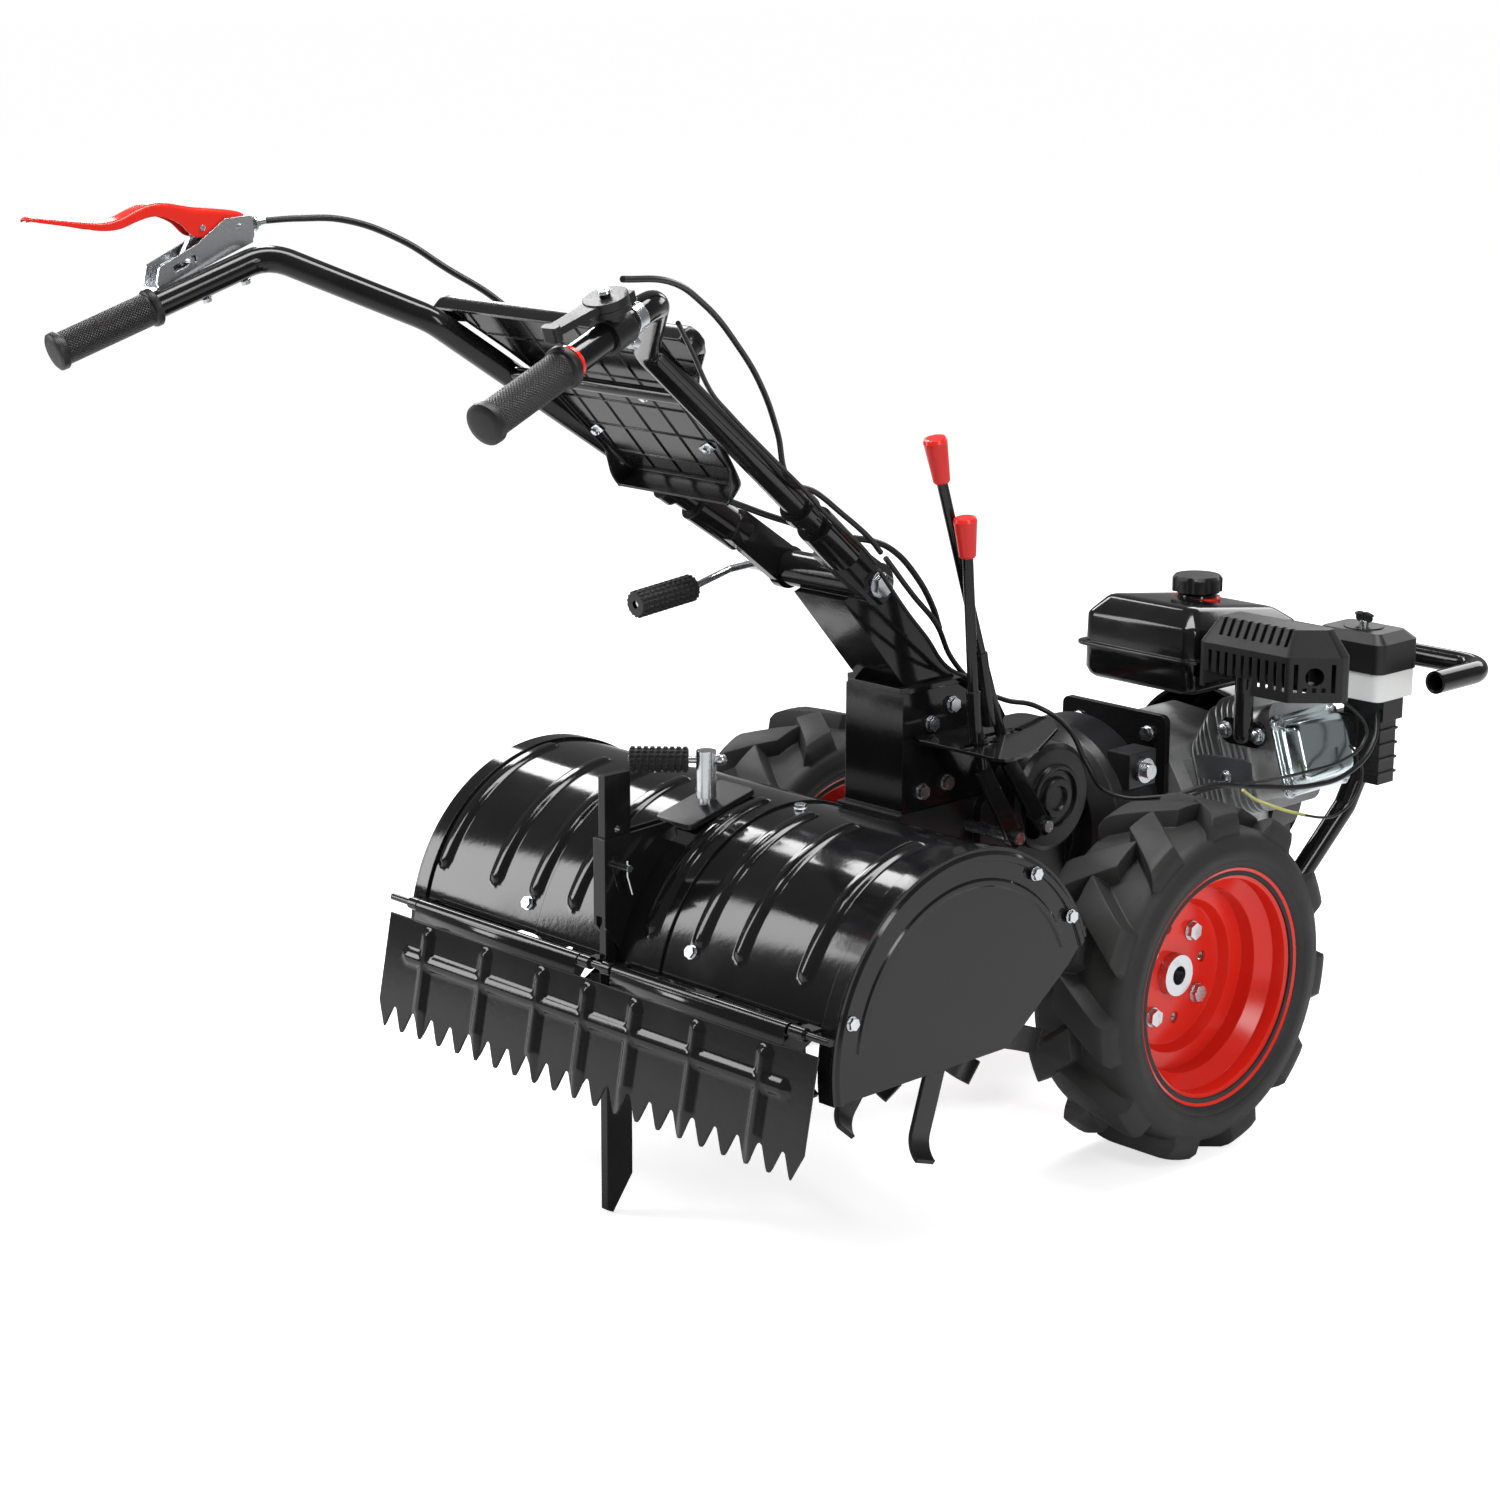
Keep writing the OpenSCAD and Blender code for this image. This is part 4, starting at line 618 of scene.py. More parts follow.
def facesOutward(piece):
    # turns the open sheet's faces away from the hood's axis
    centre = hood["axis"]
    face = piece.data.polygons[len(piece.data.polygons) // 2]
    if face.normal.dot(face.center - centre) < 0:
        piece.data.flip_normals()


def buildHood():
    left = hoodSheet("hoodLeft", -335, -109, hood["radius"], hood["front"], [-303, -212, -144])
    right = hoodSheet("hoodRight", 58, 335, hood["radius"], hood["front"], [119, 181, 275])
    middle = hoodSheet("hoodMiddle", -125, 74, hood["radius"] + 2.6, 36, [-78, 48],
                       extra=(-33, 33, -4, 8))

    def inCut(p, cut):
        centre, halfWide, halfLong = cut
        return abs(p.x - centre.x) < halfWide and abs(p.y - centre.y) < halfLong

    selectPoints(middle, lambda p: (inCut(p, hood["postCut"]) and p.z > hood["axis"].z)
                 or inCut(p, hood["stakeCut"]))
    bpy.ops.mesh.select_mode(type="FACE")
    bpy.ops.mesh.delete(type="FACE")
    closeMesh()
    for piece, node in ((left, "hood_left"), (right, "hood_right"), (middle, "hood_centre")):
        facesOutward(piece)
        giveWall(piece, hood["sheet"])
        fit(piece, "chassis", "paint_black", node, angle=50)


buildHood()
print("hood done")


# Flap
flap = {"hinge": at(0, -618, 282), "lean": 11, "half": 342, "length": 146, "pitch": 33, "tooth": 27,
        "ribs": [-270, -170, -75, 0, 75, 170, 270], "ribFrom": -30, "ribTo": -114, "crossRib": -58,
        "crossHalf": 300, "ribHalf": 8.5, "ribHeight": 4.5, "top": -16, "offset": 0.007,
        "sheet": 0.0025, "knuckleWall": 0.0024, "knuckles": [(-300, -26), (30, 292)],
        "profile": [(0, 0), (0.05, 1), (0.13, 5), (0.4, 25), (0.5, 27), (0.6, 25), (0.87, 5),
                    (0.95, 1), (1, 0)]}


def toothHeight(x):
    # how far above the tips the flap's lower edge lies at x
    count = math.floor(2 * (flap["half"] - 6) / flap["pitch"])
    start = -count * flap["pitch"] / 2
    if abs(x) > abs(start) + 1:
        return flap["tooth"] + 10
    phase = ((x - start) / flap["pitch"]) % 1
    for (p0, h0), (p1, h1) in zip(flap["profile"], flap["profile"][1:]):
        if p0 <= phase <= p1:
            return h0 + (h1 - h0) * (phase - p0) / (p1 - p0)
    return 0


def buildFlap():
    count = math.floor(2 * (flap["half"] - 6) / flap["pitch"])
    start = -count * flap["pitch"] / 2
    columns = {-flap["half"], flap["half"]}
    for i in range(count):
        columns |= {round(start + (i + p) * flap["pitch"], 2)
                    for p in (0.05, 0.13, 0.22, 0.31, 0.4, 0.5, 0.6, 0.69, 0.78, 0.87, 0.95)}
    columns = sorted(columns)
    sheet = sketchPath("flapSheet", [(x / 1000, 0, flap["top"] / 1000) for x in columns])
    bpy.ops.mesh.select_all(action="SELECT")
    lastRow = -flap["length"] + flap["tooth"] + 3
    rows = 40
    drop = (lastRow - flap["top"]) / rows / 1000
    for row in range(rows):
        bpy.ops.mesh.extrude_region_move(TRANSFORM_OT_translate={"value": (0, 0, drop)})
    bpy.ops.mesh.extrude_region_move(TRANSFORM_OT_translate={"value": (0, 0, -0.02)})
    closeMesh()
    for vertex in sheet.data.vertices:
        if vertex.co.z * 1000 < lastRow - 5:
            vertex.co.z = (toothHeight(vertex.co.x * 1000) - flap["length"]) / 1000
            if abs(vertex.co.x) * 1000 > flap["half"] - 1:
                vertex.co.z = lastRow / 1000 - 0.001
    levels = 5
    for level in range(levels):
        reach = ribReach(flap["ribHalf"], level, levels)

        def inside(p):
            x, z = p.x * 1000, p.z * 1000
            over = max(0.0, z - flap["ribFrom"], flap["ribTo"] - z)
            if min(math.hypot(x - rib, over) for rib in flap["ribs"]) < reach:
                return True
            side = max(0.0, abs(x) - flap["crossHalf"])
            return math.hypot(z - flap["crossRib"], side) < reach

        selectPoints(sheet, inside)
        bpy.ops.transform.translate(value=(0, -flap["ribHeight"] / levels / 1000, 0))
    closeMesh()
    if sheet.data.polygons[len(sheet.data.polygons) // 2].normal.y > 0:
        sheet.data.flip_normals()
    sheet.data.transform(Matrix.Translation((0, -flap["offset"], 0)))
    giveWall(sheet, flap["sheet"])
    knuckles = []
    for x0, x1 in flap["knuckles"]:
        roll = spinPath("flapKnuckle", [(x / 1000, -flap["offset"], 0) for x in (x0, x1)], (0, 0, 0),
                        (1, 0, 0), 360, 24)
        giveWall(roll, flap["knuckleWall"])
        strap = block("flapStrap", ((x0 + x1) / 2000, -0.0058, -0.0085),
                      ((x1 - x0) / 1000, flap["knuckleWall"], 0.017), None, 0.0004, 1)
        knuckles += [roll, strap]
    whole = joinPieces("flapPressed", [sheet, *knuckles])
    whole.data.transform(Matrix.Translation(flap["hinge"])
                         @ Matrix.Rotation(math.radians(-flap["lean"]), 4, "X"))
    fit(whole, "flap", "paint_black", "flap", angle=50)


buildFlap()
print("flap done")


# Fuel tank
tank = {"centre": at(15, 348, 0), "width": 0.18, "length": 0.216, "corner": 0.016,
        "levels": [(0.4525, 0.014), (0.454, 0.009), (0.458, 0.005), (0.466, 0.002), (0.4935, 0.002),
                   (0.494, -0.0055), (0.4945, -0.006), (0.4975, -0.006), (0.498, -0.0055),
                   (0.4985, 0.002), (0.526, 0.0028), (0.5285, 0.0035), (0.5315, 0.0058),
                   (0.5455, 0.0195), (0.548, 0.0228), (0.5495, 0.0275), (0.5502, 0.04)],
        "slopeFrom": 0.505, "slope": 0.13, "rearLift": 0.011, "cap": at(3, 372, 552),
        # radius and height above the cap's foot
        "neck": [(0.0245, -0.04), (0.0245, -0.004), (0.022, 0), (0.019, 0), (0.019, -0.04)],
        "ring": [(0.0246, -0.011), (0.029, -0.0105), (0.0298, -0.008), (0.029, -0.0055),
                 (0.0246, -0.005)]}


def buildTank():
    body = stackSections("fuelTankShell", tank["centre"], tank["width"], tank["length"], tank["corner"],
                         tank["levels"])
    rear = tank["centre"].y - tank["length"] / 2
    top = tank["levels"][-1][0]
    for vertex in body.data.vertices:  # the top slopes down towards the front
        if vertex.co.z > tank["slopeFrom"]:
            share = (vertex.co.z - tank["slopeFrom"]) / (top - tank["slopeFrom"])
            vertex.co.z += share * (tank["rearLift"] - tank["slope"] * (vertex.co.y - rear))
    neck, ring = (ringOf(name, tank[part], 72) for name, part in (("fuelNeck", "neck"),
                                                                  ("fuelNeckRing", "ring")))
    for piece in (neck, ring):
        placeOn(piece, tank["cap"], (0, 0, 1))
    whole = joinPieces("fuelTankDressed", [body, neck])
    fit(whole, "chassis", "paint_black", "fuel_tank", angle=40)
    fit(ring, "chassis", "signal_red")


buildTank()
print("fuel tank done")


# Grips
grip = {"end": at(337, -1030, 937), "bend": at(298, -800, 1021), "over": 0.007, "diamonds": 30,
        "profile": [(0, 0), (0, 12), (0.8, 17), (2.5, 19.6), (8.5, 20), (10, 19.2), (10.8, 17.4),
                    (12, 17), (109, 17), (111, 17.3), (112, 19.3), (113.5, 20), (118.5, 20), (120, 18.6),
                    (120, 14.2)]}


def wrapPattern(piece, around):
    # a UV map that runs round and along the piece's own Z axis; around whole repeats
    layer = piece.data.uv_layers.new(name="wrap")
    for polygon in piece.data.polygons:
        spots = []
        for index in polygon.loop_indices:
            co = piece.data.vertices[piece.data.loops[index].vertex_index].co
            spots.append([math.atan2(co.y, co.x) / (2 * math.pi) % 1, co.z])
        if max(u for u, v in spots) - min(u for u, v in spots) > 0.5:
            for spot in spots:
                if spot[0] < 0.5:
                    spot[0] += 1
        for index, (u, v) in zip(polygon.loop_indices, spots):
            layer.data[index].uv = (u * around, v * 1000)


def diamondRubber():
    s = Surface("diamondGripRubber")
    uv = s.add("ShaderNodeUVMap", {"uv_map": "wrap"})
    parts = s.tree.nodes.new("ShaderNodeSeparateXYZ")
    s.feed(parts.inputs[0], uv)
    u, v = Wire(s, parts.outputs[0]), Wire(s, parts.outputs[1])
    turns = u * math.pi
    rows = v * 0.85
    bumps = ((turns + rows).sine() * (turns - rows).sine()).absolute()
    plain = v.above(12.5, 13.5) * (1 - v.above(108, 109))
    height = bumps.power(0.7) * plain + s.noise(900, 2) * 0.15
    grimy = s.noise(25, 4, 0.6).above(0.45, 0.7)
    colour = s.blend(grimy * 0.5, gripRubber["colour"], gripRubber["handledColour"])
    # painted shade: the grooves between the raised diamonds are painted darker, halfway to near-black
    colour = s.blend(bumps.above(0.1, 0.5) * plain, s.blend(0.5, colour, (0.004, 0.004, 0.004)), colour)
    return s.finish(Base_Color=colour, Roughness=gripRubber["roughness"] + grimy * 0.08,
                    Specular_IOR_Level=gripRubber["specular"], Normal=s.heightMap(height, 0.0009))


finishes["diamond_rubber"] = diamondRubber()


def buildGrips():
    piece = ringOf("handGripRight", [(r / 1000, z / 1000) for z, r in grip["profile"]], 48)
    wrapPattern(piece, grip["diamonds"])
    run = (grip["bend"] - grip["end"]).normalized()
    placeOn(piece, grip["end"] - run * grip["over"], run)
    left = mirrored(piece, "handGripLeft")
    fit(piece, "handlebar", "rubber_black", "hand_grips", material="diamond_rubber")
    fit(left, "handlebar", "rubber_black", "hand_grips", material="diamond_rubber")


buildGrips()

blockGrips = {"post": {"foot": at(0, -459, 479), "turn": 225, "start": 0.019, "length": 0.064,
                       "radius": 0.0122},
              "clamp": {"x": -108, "start": (-380, 641.8), "from": (-378, 642), "to": (-461, 634),
                        "length": 0.084, "radius": 0.0135},
              "rounds": 16, "rowLength": 0.0075, "block": 0.0022, "bore": 0.0045}


def blockGrip(name, length, radius):
    # a moulded grip with rows of raised blocks
    rows = round(length / blockGrips["rowLength"])
    bore = blockGrips["bore"]
    side = [(radius, length * i / rows) for i in range(rows + 1)]
    piece = ringOf(name, [(bore, 0), *side, (bore, length)], blockGrips["rounds"])
    makeActive(piece)
    for vertex in piece.data.vertices:
        vertex.select = False
    for edge in piece.data.edges:
        edge.select = False
    for polygon in piece.data.polygons:
        spot = polygon.center
        polygon.select = math.hypot(spot.x, spot.y) > radius * 0.9
    openMesh()
    bpy.ops.mesh.select_mode(type="FACE")
    bpy.ops.mesh.inset(thickness=0.0009, use_individual=True)
    bpy.ops.mesh.inset(thickness=0.0004, depth=blockGrips["block"], use_individual=True)
    closeMesh()
    roundEdges(piece, 0.0004, 1, 40)
    return piece


def buildBlockGrips():
    post, clamp = blockGrips["post"], blockGrips["clamp"]
    turn = math.radians(post["turn"])
    run = Vector((math.cos(turn), math.sin(turn), 0))
    piece = blockGrip("postGripBlocks", post["length"], post["radius"])
    placeOn(piece, post["foot"] + run * post["start"], run)
    fit(piece, "post_handle", "rubber_black", "post_grip")
    start, end = at(clamp["x"], *clamp["from"]), at(clamp["x"], *clamp["to"])
    run = (end - start).normalized()
    piece = blockGrip("clampGripBlocks", clamp["length"], clamp["radius"])
    placeOn(piece, at(clamp["x"], *clamp["start"]), run)
    fit(piece, "clamp_handle", "rubber_black", "clamp_grip")


buildBlockGrips()
print("grips done")


# Bars, rods and cables
# corners and bends of the tubes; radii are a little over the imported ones, which lie inside
bars = {"low": at(84, -352, 714), "bendA": at(165, -693, 957), "bendB": at(298, -800, 1021),
        "end": at(337, -1030, 937), "bend": 0.046, "radius": 0.01412,
        "bumperBend": 0.042, "postBend": 0.024,
        "bumper": [at(-170, 473, 468), at(-170, 590, 468), at(291, 590, 468), at(291, 473, 468)],
        "bumperPost": [at(99, 420, 178), at(99, 470, 178), at(116, 545, 268), at(130, 606, 400),
                       at(130, 590, 456)],
        "wall": 0.0022, "rodRadius": 0.00612, "clampRadius": 0.00408,
        "speedRod": [at(100, -209, 797), at(100, -201, 764), at(100, -133, 564), at(100, -84, 432)],
        "tineRod": [at(120, -182, 706), at(120, -179, 681), at(120, -166, 529), at(120, -149, 438)],
        "clampRod": [at(-108, -280, 657), at(-108, -322, 655), at(-108, -378, 642), at(-108, -400, 640)]}


def buildBars():
    radius = bars["radius"]
    corners = [bars[name] for name in ("low", "bendA", "bendB", "end")]
    right = drawTube("handlebarTubeRight", corners, bars["bend"], 9, radius)
    left = mirrored(right, "handlebarTubeLeft")
    fit(right, "handlebar", "paint_black")
    fit(left, "handlebar", "paint_black")
    loop = drawTube("bumperTube", bars["bumper"], bars["bumperBend"], 14, radius, wall=bars["wall"])
    fit(loop, "chassis", "paint_black")
    post = drawTube("bumperPostRight", bars["bumperPost"], bars["postBend"], 6, radius)
    fit(mirrored(post, "bumperPostLeft"), "chassis", "paint_black")
    fit(post, "chassis", "paint_black")
    for name, body in (("speedRod", "shift_a"), ("tineRod", "shift_b")):
        fit(drawTube(name, bars[name], 0.008, 4, bars["rodRadius"], 6), body, "paint_black")
    rod = drawTube("clampRod", bars["clampRod"], 0.014, 6, bars["clampRadius"], 5)
    fit(rod, "clamp_handle", "zinc")


buildBars()

# for each body: radius in metres and route of each cable, in millimetres from the axle
cables = {
    "handle": {
        "throttleCable": (0.0031, [
            (316, -856, 1046), (300, -786, 1038), (270, -716, 1011), (225, -627, 959), (190, -562, 911),
            (152, -502, 854), (130, -464, 800), (120, -415, 780), (118, -376, 754), (114, -330, 722),
            (104, -300, 700)]),
        "thinWire": (0.0024, [
            (304, -778, 1000), (268, -726, 964), (238, -676, 922), (208, -624, 893), (156, -508, 826),
            (136, -450, 790), (126, -400, 752), (116, -350, 720), (106, -310, 690)]),
        "clutchCable": (0.0036, [
            (-333, -780, 1052), (-322, -744, 1053), (-300, -698, 1050), (-262, -656, 1030),
            (-222, -625, 1000), (-180, -595, 970), (-150, -575, 938), (-80, -535, 872), (-20, -478, 800),
            (20, -456, 768), (36, -430, 754), (48, -390, 738), (52, -306, 712)]),
    },
    "frame": {
        "throttleCableFrame": (0.0031, [
            (102, -290, 692), (92, -235, 642), (84, -190, 604), (64, -140, 552), (58, -90, 512),
            (56, -40, 488), (66, 6, 474), (96, 26, 450), (124, 28, 412), (142, 44, 380), (190, 84, 376),
            (218, 141, 385), (236, 202, 376), (262, 270, 370), (268, 340, 376), (262, 395, 404),
            (248, 418, 434)]),
        "thinWireFrame": (0.0024, [
            (102, -300, 680), (92, -246, 626), (84, -205, 590), (66, -150, 545), (60, -98, 520),
            (53, -60, 496), (40, -22, 460), (36, 0, 434.5)]),
        "clutchCableFrame": (0.0036, [
            (52, -288, 707), (54, -262, 701), (52, -227, 686), (50, -189, 654), (42, -150, 610),
            (34, -130, 582)]),
    },
    "ferrule": [(-333, -806, 1046.5), (-333, -793, 1049.5), (-333, -778, 1052)]}


def buildCables():
    for body, group, node in (("handlebar", "handle", "handle_cables"),
                              ("chassis", "frame", "frame_cables")):
        for name, (radius, route) in cables[group].items():
            cable = drawWire(name, [at(*place) for place in route], radius, 4, 8)
            fit(cable, body, "plastic_black", node)
    ferrule = [at(*place) for place in cables["ferrule"]]
    run = (ferrule[2] - ferrule[0]).normalized()
    sleeve = drawWire("cableFerrule", ferrule, 0.0042, 4, 4)
    nut = boltHead(ferrule[1], run, 7)
    fit(joinPieces("cableFerruleNut", [sleeve, nut]), "handlebar", "zinc")


buildCables()
print("bars and cables done")


# Clutch lever
# stations along the blade: y, height of its top, half width, depth of its sides
clutch = {"x": -333, "wall": 0.0016, "stations": [
    (-1066, 1070, 5, 2), (-1060, 1071.5, 8, 3), (-1040, 1069, 10, 4), (-1010, 1065, 11, 5),
    (-985, 1062.5, 11, 7), (-962, 1065, 11, 9), (-940, 1073, 10.5, 10.5), (-922, 1078, 10, 12),
    (-905, 1077.5, 9.5, 13.5), (-888, 1074.5, 9.2, 18), (-872, 1071.5, 9, 28), (-850, 1069, 9, 27),
    (-826, 1066, 9, 23), (-812, 1063, 9, 20), (-806, 1058, 9, 12)]}


def buildClutchLever():
    stations = clutch["stations"]

    def place(u, v):
        step = v * (len(stations) - 1)
        i = min(int(step), len(stations) - 2)
        before, after = stations[max(0, i - 1)], stations[min(i + 2, len(stations) - 1)]
        here, there, t = stations[i], stations[i + 1], step - i
        y, top, half, depth = (0.5 * (2 * b + (c - a) * t + (2 * a - 5 * b + 4 * c - d) * t * t
                                      + (3 * b - a - 3 * c + d) * t ** 3)
                               for a, b, c, d in zip(before, here, there, after))
        side = 2 * u - 1
        bend = abs(side)
        out = half * min(1, bend / 0.45) ** 0.85 if bend < 0.45 else half
        drop = depth * max(0, (bend - 0.36) / 0.64) ** 1.3 + 1.6 * min(1, bend / 0.45) ** 3
        return at(clutch["x"] + math.copysign(out, side), y, top - drop)

    blade = shapedGrid("clutchLeverBlade", 24, 84, place)
    if blade.data.polygons[len(blade.data.polygons) // 2].normal.z < 0:
        blade.data.flip_normals()
    giveWall(blade, clutch["wall"])
    fit(blade, "clutch_lever", "signal_red", "clutch_lever", angle=60)


buildClutchLever()
print("clutch lever done")


# Valve cover
valveCover = {"centre": (0, 333, 325), "tilt": 18, "height": 0.098, "length": 0.124, "corner": 0.016,
              "levels": [(0.222, 0.001), (0.2225, 0), (0.2252, 0), (0.2262, 0.001), (0.2266, 0.0065),
                         (0.2312, 0.007), (0.2326, 0.008), (0.2332, 0.0115), (0.2448, 0.0128),
                         (0.2484, 0.0142), (0.2506, 0.0168), (0.2515, 0.0202), (0.2518, 0.026)],
              "lobes": [(-40, -52), (-40, 52), (40, -52), (40, 52)], "lobe": 0.0105, "bolt": 6.5}


def buildValveCover():
    frameOf = (Matrix.Translation(at(*valveCover["centre"]))
               @ Matrix.Rotation(math.radians(-valveCover["tilt"]), 4, "Y"))
    turn = Matrix(((0, 0, 1, 0), (0, 1, 0, 0), (-1, 0, 0, 0), (0, 0, 0, 1)))
    body = stackSections("valveCoverPressed", Vector((0, 0, 0)), valveCover["height"], valveCover["length"],
                         valveCover["corner"], valveCover["levels"])
    parts = [body]
    base = valveCover["levels"][0][0]
    for z, y in valveCover["lobes"]:
        foot = Vector((-z / 1000, y / 1000, base))
        r = valveCover["lobe"]
        lobe = ringOf("coverLobe", [(r, 0), (r, 0.0035), (r - 0.001, 0.0048), (0.002, 0.0048)], 28)
        placeOn(lobe, foot, (0, 0, 1))
        parts.append(lobe)
    body = joinPieces("valveCoverPressed", parts)
    body.data.transform(frameOf @ turn)
    fit(body, "chassis", "zinc_blue", "valve_cover", angle=40)
    bolts = []
    for z, y in valveCover["lobes"]:
        foot = frameOf @ Vector((base + 0.0046, y / 1000, z / 1000))
        bolts.append(boltHead(foot, frameOf.to_3x3() @ Vector((1, 0, 0)), valveCover["bolt"]))
    fit(joinPieces("valveCoverBolts", bolts), "chassis", "zinc")


buildValveCover()
print("valve cover done")


# Small pieces on the engine
dressing = {
    "deflector": {"y": 250, "x": (112, 194), "z": (356, 388)},
    "deflectorBolt": (158, 245, 366),
    # radius, finish and route
    "wires": {
        "sparkWire": (0.0019, "plastic_black", [
            (150, 96, 366), (190, 103, 366), (215, 136, 380), (234, 186, 382), (268, 250, 391),
            (274, 326, 397), (270, 361, 408), (266, 372, 424), (253, 366, 443), (240, 350, 458)]),
        "killWire": (0.0017, "plastic_black", [
            (262, 264, 335), (266, 292, 328), (266, 320, 326), (264, 356, 339), (263, 372, 366),
            (260, 366, 389), (250, 362, 402)]),
        "fuelWire": (0.002, "fuel_line", [
            (225, 190, 372), (228, 212, 357), (235, 231, 348), (245, 255, 338), (262, 264, 335)]),
    },
    "flangeBolts": [(142, 260.5, 419), (190, 260.5, 419)],
    "drumBoss": {"at": (99, 136, 386), "radius": 0.022, "length": 0.018},
    "wingNut": (207, 440, 531),
    "nutStud": [(0, 0.012), (0.0024, 0.0115), (0.0026, 0.006), (0.0052, 0.0055), (0.0056, -0.001),
                (0.02, -0.0012), (0.0206, -0.0022)]}


def buildEngineDressing():
    plate = dressing["deflector"]
    low, high = plate["x"]
    foot, top = plate["z"]

    def place(u, v):
        x = low + (high - low) * u
        lean = 10 * v if u < 0.5 else 10 * v + 4 * (u - 0.5)
        edge = 1 if 0.02 < u < 0.98 else 0.9
        return at(x, plate["y"] - 6 * math.sin(math.pi * min(1, u * 1.2)) * 0.6 - lean * 0.4,
                  foot + 6 * u + (top - foot - 4 * abs(u - 0.4)) * v * edge)

    sheet = shapedGrid("deflectorSheet", 16, 8, place)
    giveWall(sheet, 0.0016, 0)
    fit(sheet, "chassis", "paint_black", material="dark_sheet")
    rearward = (0, -1, 0)
    bolts = [boltHead(at(*spot), rearward, 8) for spot in dressing["flangeBolts"]]
    bolts.append(boltHead(at(*dressing["deflectorBolt"]), rearward, 6))
    fit(joinPieces("engineBolts", bolts), "chassis", "zinc")
    for name, (radius, finish, route) in dressing["wires"].items():
        wire = drawWire(name, [at(*spot) for spot in route], radius, 3, 8)
        fit(wire, "chassis", "plastic_black", material=finish)
    boss = dressing["drumBoss"]
    centre = at(*boss["at"])
    r, length = boss["radius"], boss["length"]
    profile = [(0, r), (length - 0.002, r), (length, r - 0.002), (length, 0.004)]
    ring = spinPath("drumBoss", [centre + Vector((x, 0, z)) for x, z in profile], centre, (1, 0, 0),
                    360, 48)
    fit(ring, "chassis", "cast_black")
    nut = at(*dressing["wingNut"])
    wings = []
    for side in (-1, 1):
        def ear(u, v):
            angle = math.pi * u
            reach = 0.0025 + 0.0085 * v
            return nut + Vector((side * (0.003 + reach * math.sin(angle)), 0,
                                 0.004 + 0.009 * v - 0.004 * math.cos(angle)))

        wing = shapedGrid("wing", 12, 4, ear)
        giveWall(wing, 0.0014, 0)
        wings.append(wing)
    stud = ringOf("wingNutStud", dressing["nutStud"])
    placeOn(stud, nut, (0, 0, 1))
    fit(joinPieces("filterWingNut", [stud, *wings]), "chassis", "zinc")


finishes["dark_sheet"] = paintedSurface("darkSheetPaint", {**castPaint, "colour": (0.055, 0.06, 0.065)})
finishes["fuel_line"] = mouldedSurface("paleHose", {**blackPlastic, "colour": (0.5, 0.5, 0.16),
                                                    "handledColour": (0.5, 0.56, 0.3), "roughness": 0.2})
buildEngineDressing()
print("engine dressing done")


# Throttle and grip pieces
controls = {
    "ring": {"from": 0.116, "length": 0.005, "radius": 0.0162},
    "strap": {"share": 0.17, "width": 0.013, "radius": 0.0152},
    "dial": {"share": 0.26, "height": 0.0383},
    "screw": [(0.0016, 0.001), (0.002, 0.0022), (0.0052, 0.0024), (0.0062, 0.0012), (0.0064, -0.0004)]}


def buildControls():
    run = (grip["bend"] - grip["end"]).normalized()
    ring = controls["ring"]
    r, length = ring["radius"], ring["length"]
    band = ringOf("gripBand", [(r - 0.0022, 0), (r, 0.0006), (r, length - 0.0006), (r - 0.0022, length)], 40)
    placeOn(band, grip["end"] + run * ring["from"], run)
    fit(band, "handlebar", "signal_red")
    strap = controls["strap"]
    r, length = strap["radius"], strap["width"]
    hoop = ringOf("throttleStrap", [(r - 0.001, 0), (r, 0.0005), (r, length - 0.0005),
                                    (r - 0.001, length)], 40)
    spot = grip["bend"] + (grip["end"] - grip["bend"]) * strap["share"]
    placeOn(hoop, spot, run)
    foot = spot + Vector((0, 0, -r - 0.003))
    ears = [block("strapEar", foot + Vector((side * 0.0035, 0.003, 0)), (0.0022, 0.012, 0.013))
            for side in (-1, 1)]
    bolt = boltHead(foot + Vector((0.005, 0.003, -0.001)), (1, 0, 0), 5)
    nut = boltHead(foot + Vector((-0.005, 0.003, -0.001)), (-1, 0, 0), 5)
    fit(joinPieces("throttleStrap", [hoop, *ears, bolt, nut]), "handlebar", "zinc")
    up = run.cross(Vector((0, 0, 1))).cross(run).normalized()
    centre = grip["bend"] + (grip["end"] - grip["bend"]) * controls["dial"]["share"] \
        + up * controls["dial"]["height"]
    screw = ringOf("dialScrew", controls["screw"])
    placeOn(screw, centre, up)
    fit(screw, "handlebar", "zinc")


buildControls()
print("controls done")


# Console
console = {"place": at(0, -495, 784), "tilt": 131.8,
           # half width of the tray at each distance up from its lower edge
           "width": [(0, 84), (6, 90), (20, 94), (60, 103), (100, 111), (130, 117), (150, 127),
                     (180, 150), (215, 183), (232, 196), (244, 196), (252, 189)],
           # rolled edge: inset from the outline and share of the edge's height
           "edge": [(1.2, 1), (0, 0.94), (0, 0.45), (0.4, 0.2), (1.8, 0.05), (4.5, 0)],
           "base": -9.5, "lowerEdge": 26, "sideEdge": [(0, 26), (14, 20), (34, 6), (130, 5), (145, 1.6),
                                                       (215, 1.6), (232, 18), (252, 20)],
           "upperEdge": 20, "wall": 0.0024, "quilt": 42, "ridge": (0.0017, 0.0026),
           "clips": [(-95, 60), (34, 131), (76, 59)], "clip": (0.026, 0.011, 0.0014),
           # cross brace: place up the tray, height over it, radius; and half its length
           "brace": (160, 9.5, 0.0072), "braceHalf": 0.142}


def graph(points, x):
    # height of the line through the points at x
    for (x0, y0), (x1, y1) in zip(points, points[1:]):
        if x <= x1:
            return y0 + (y1 - y0) * max(0, x - x0) / (x1 - x0)
    return points[-1][1]


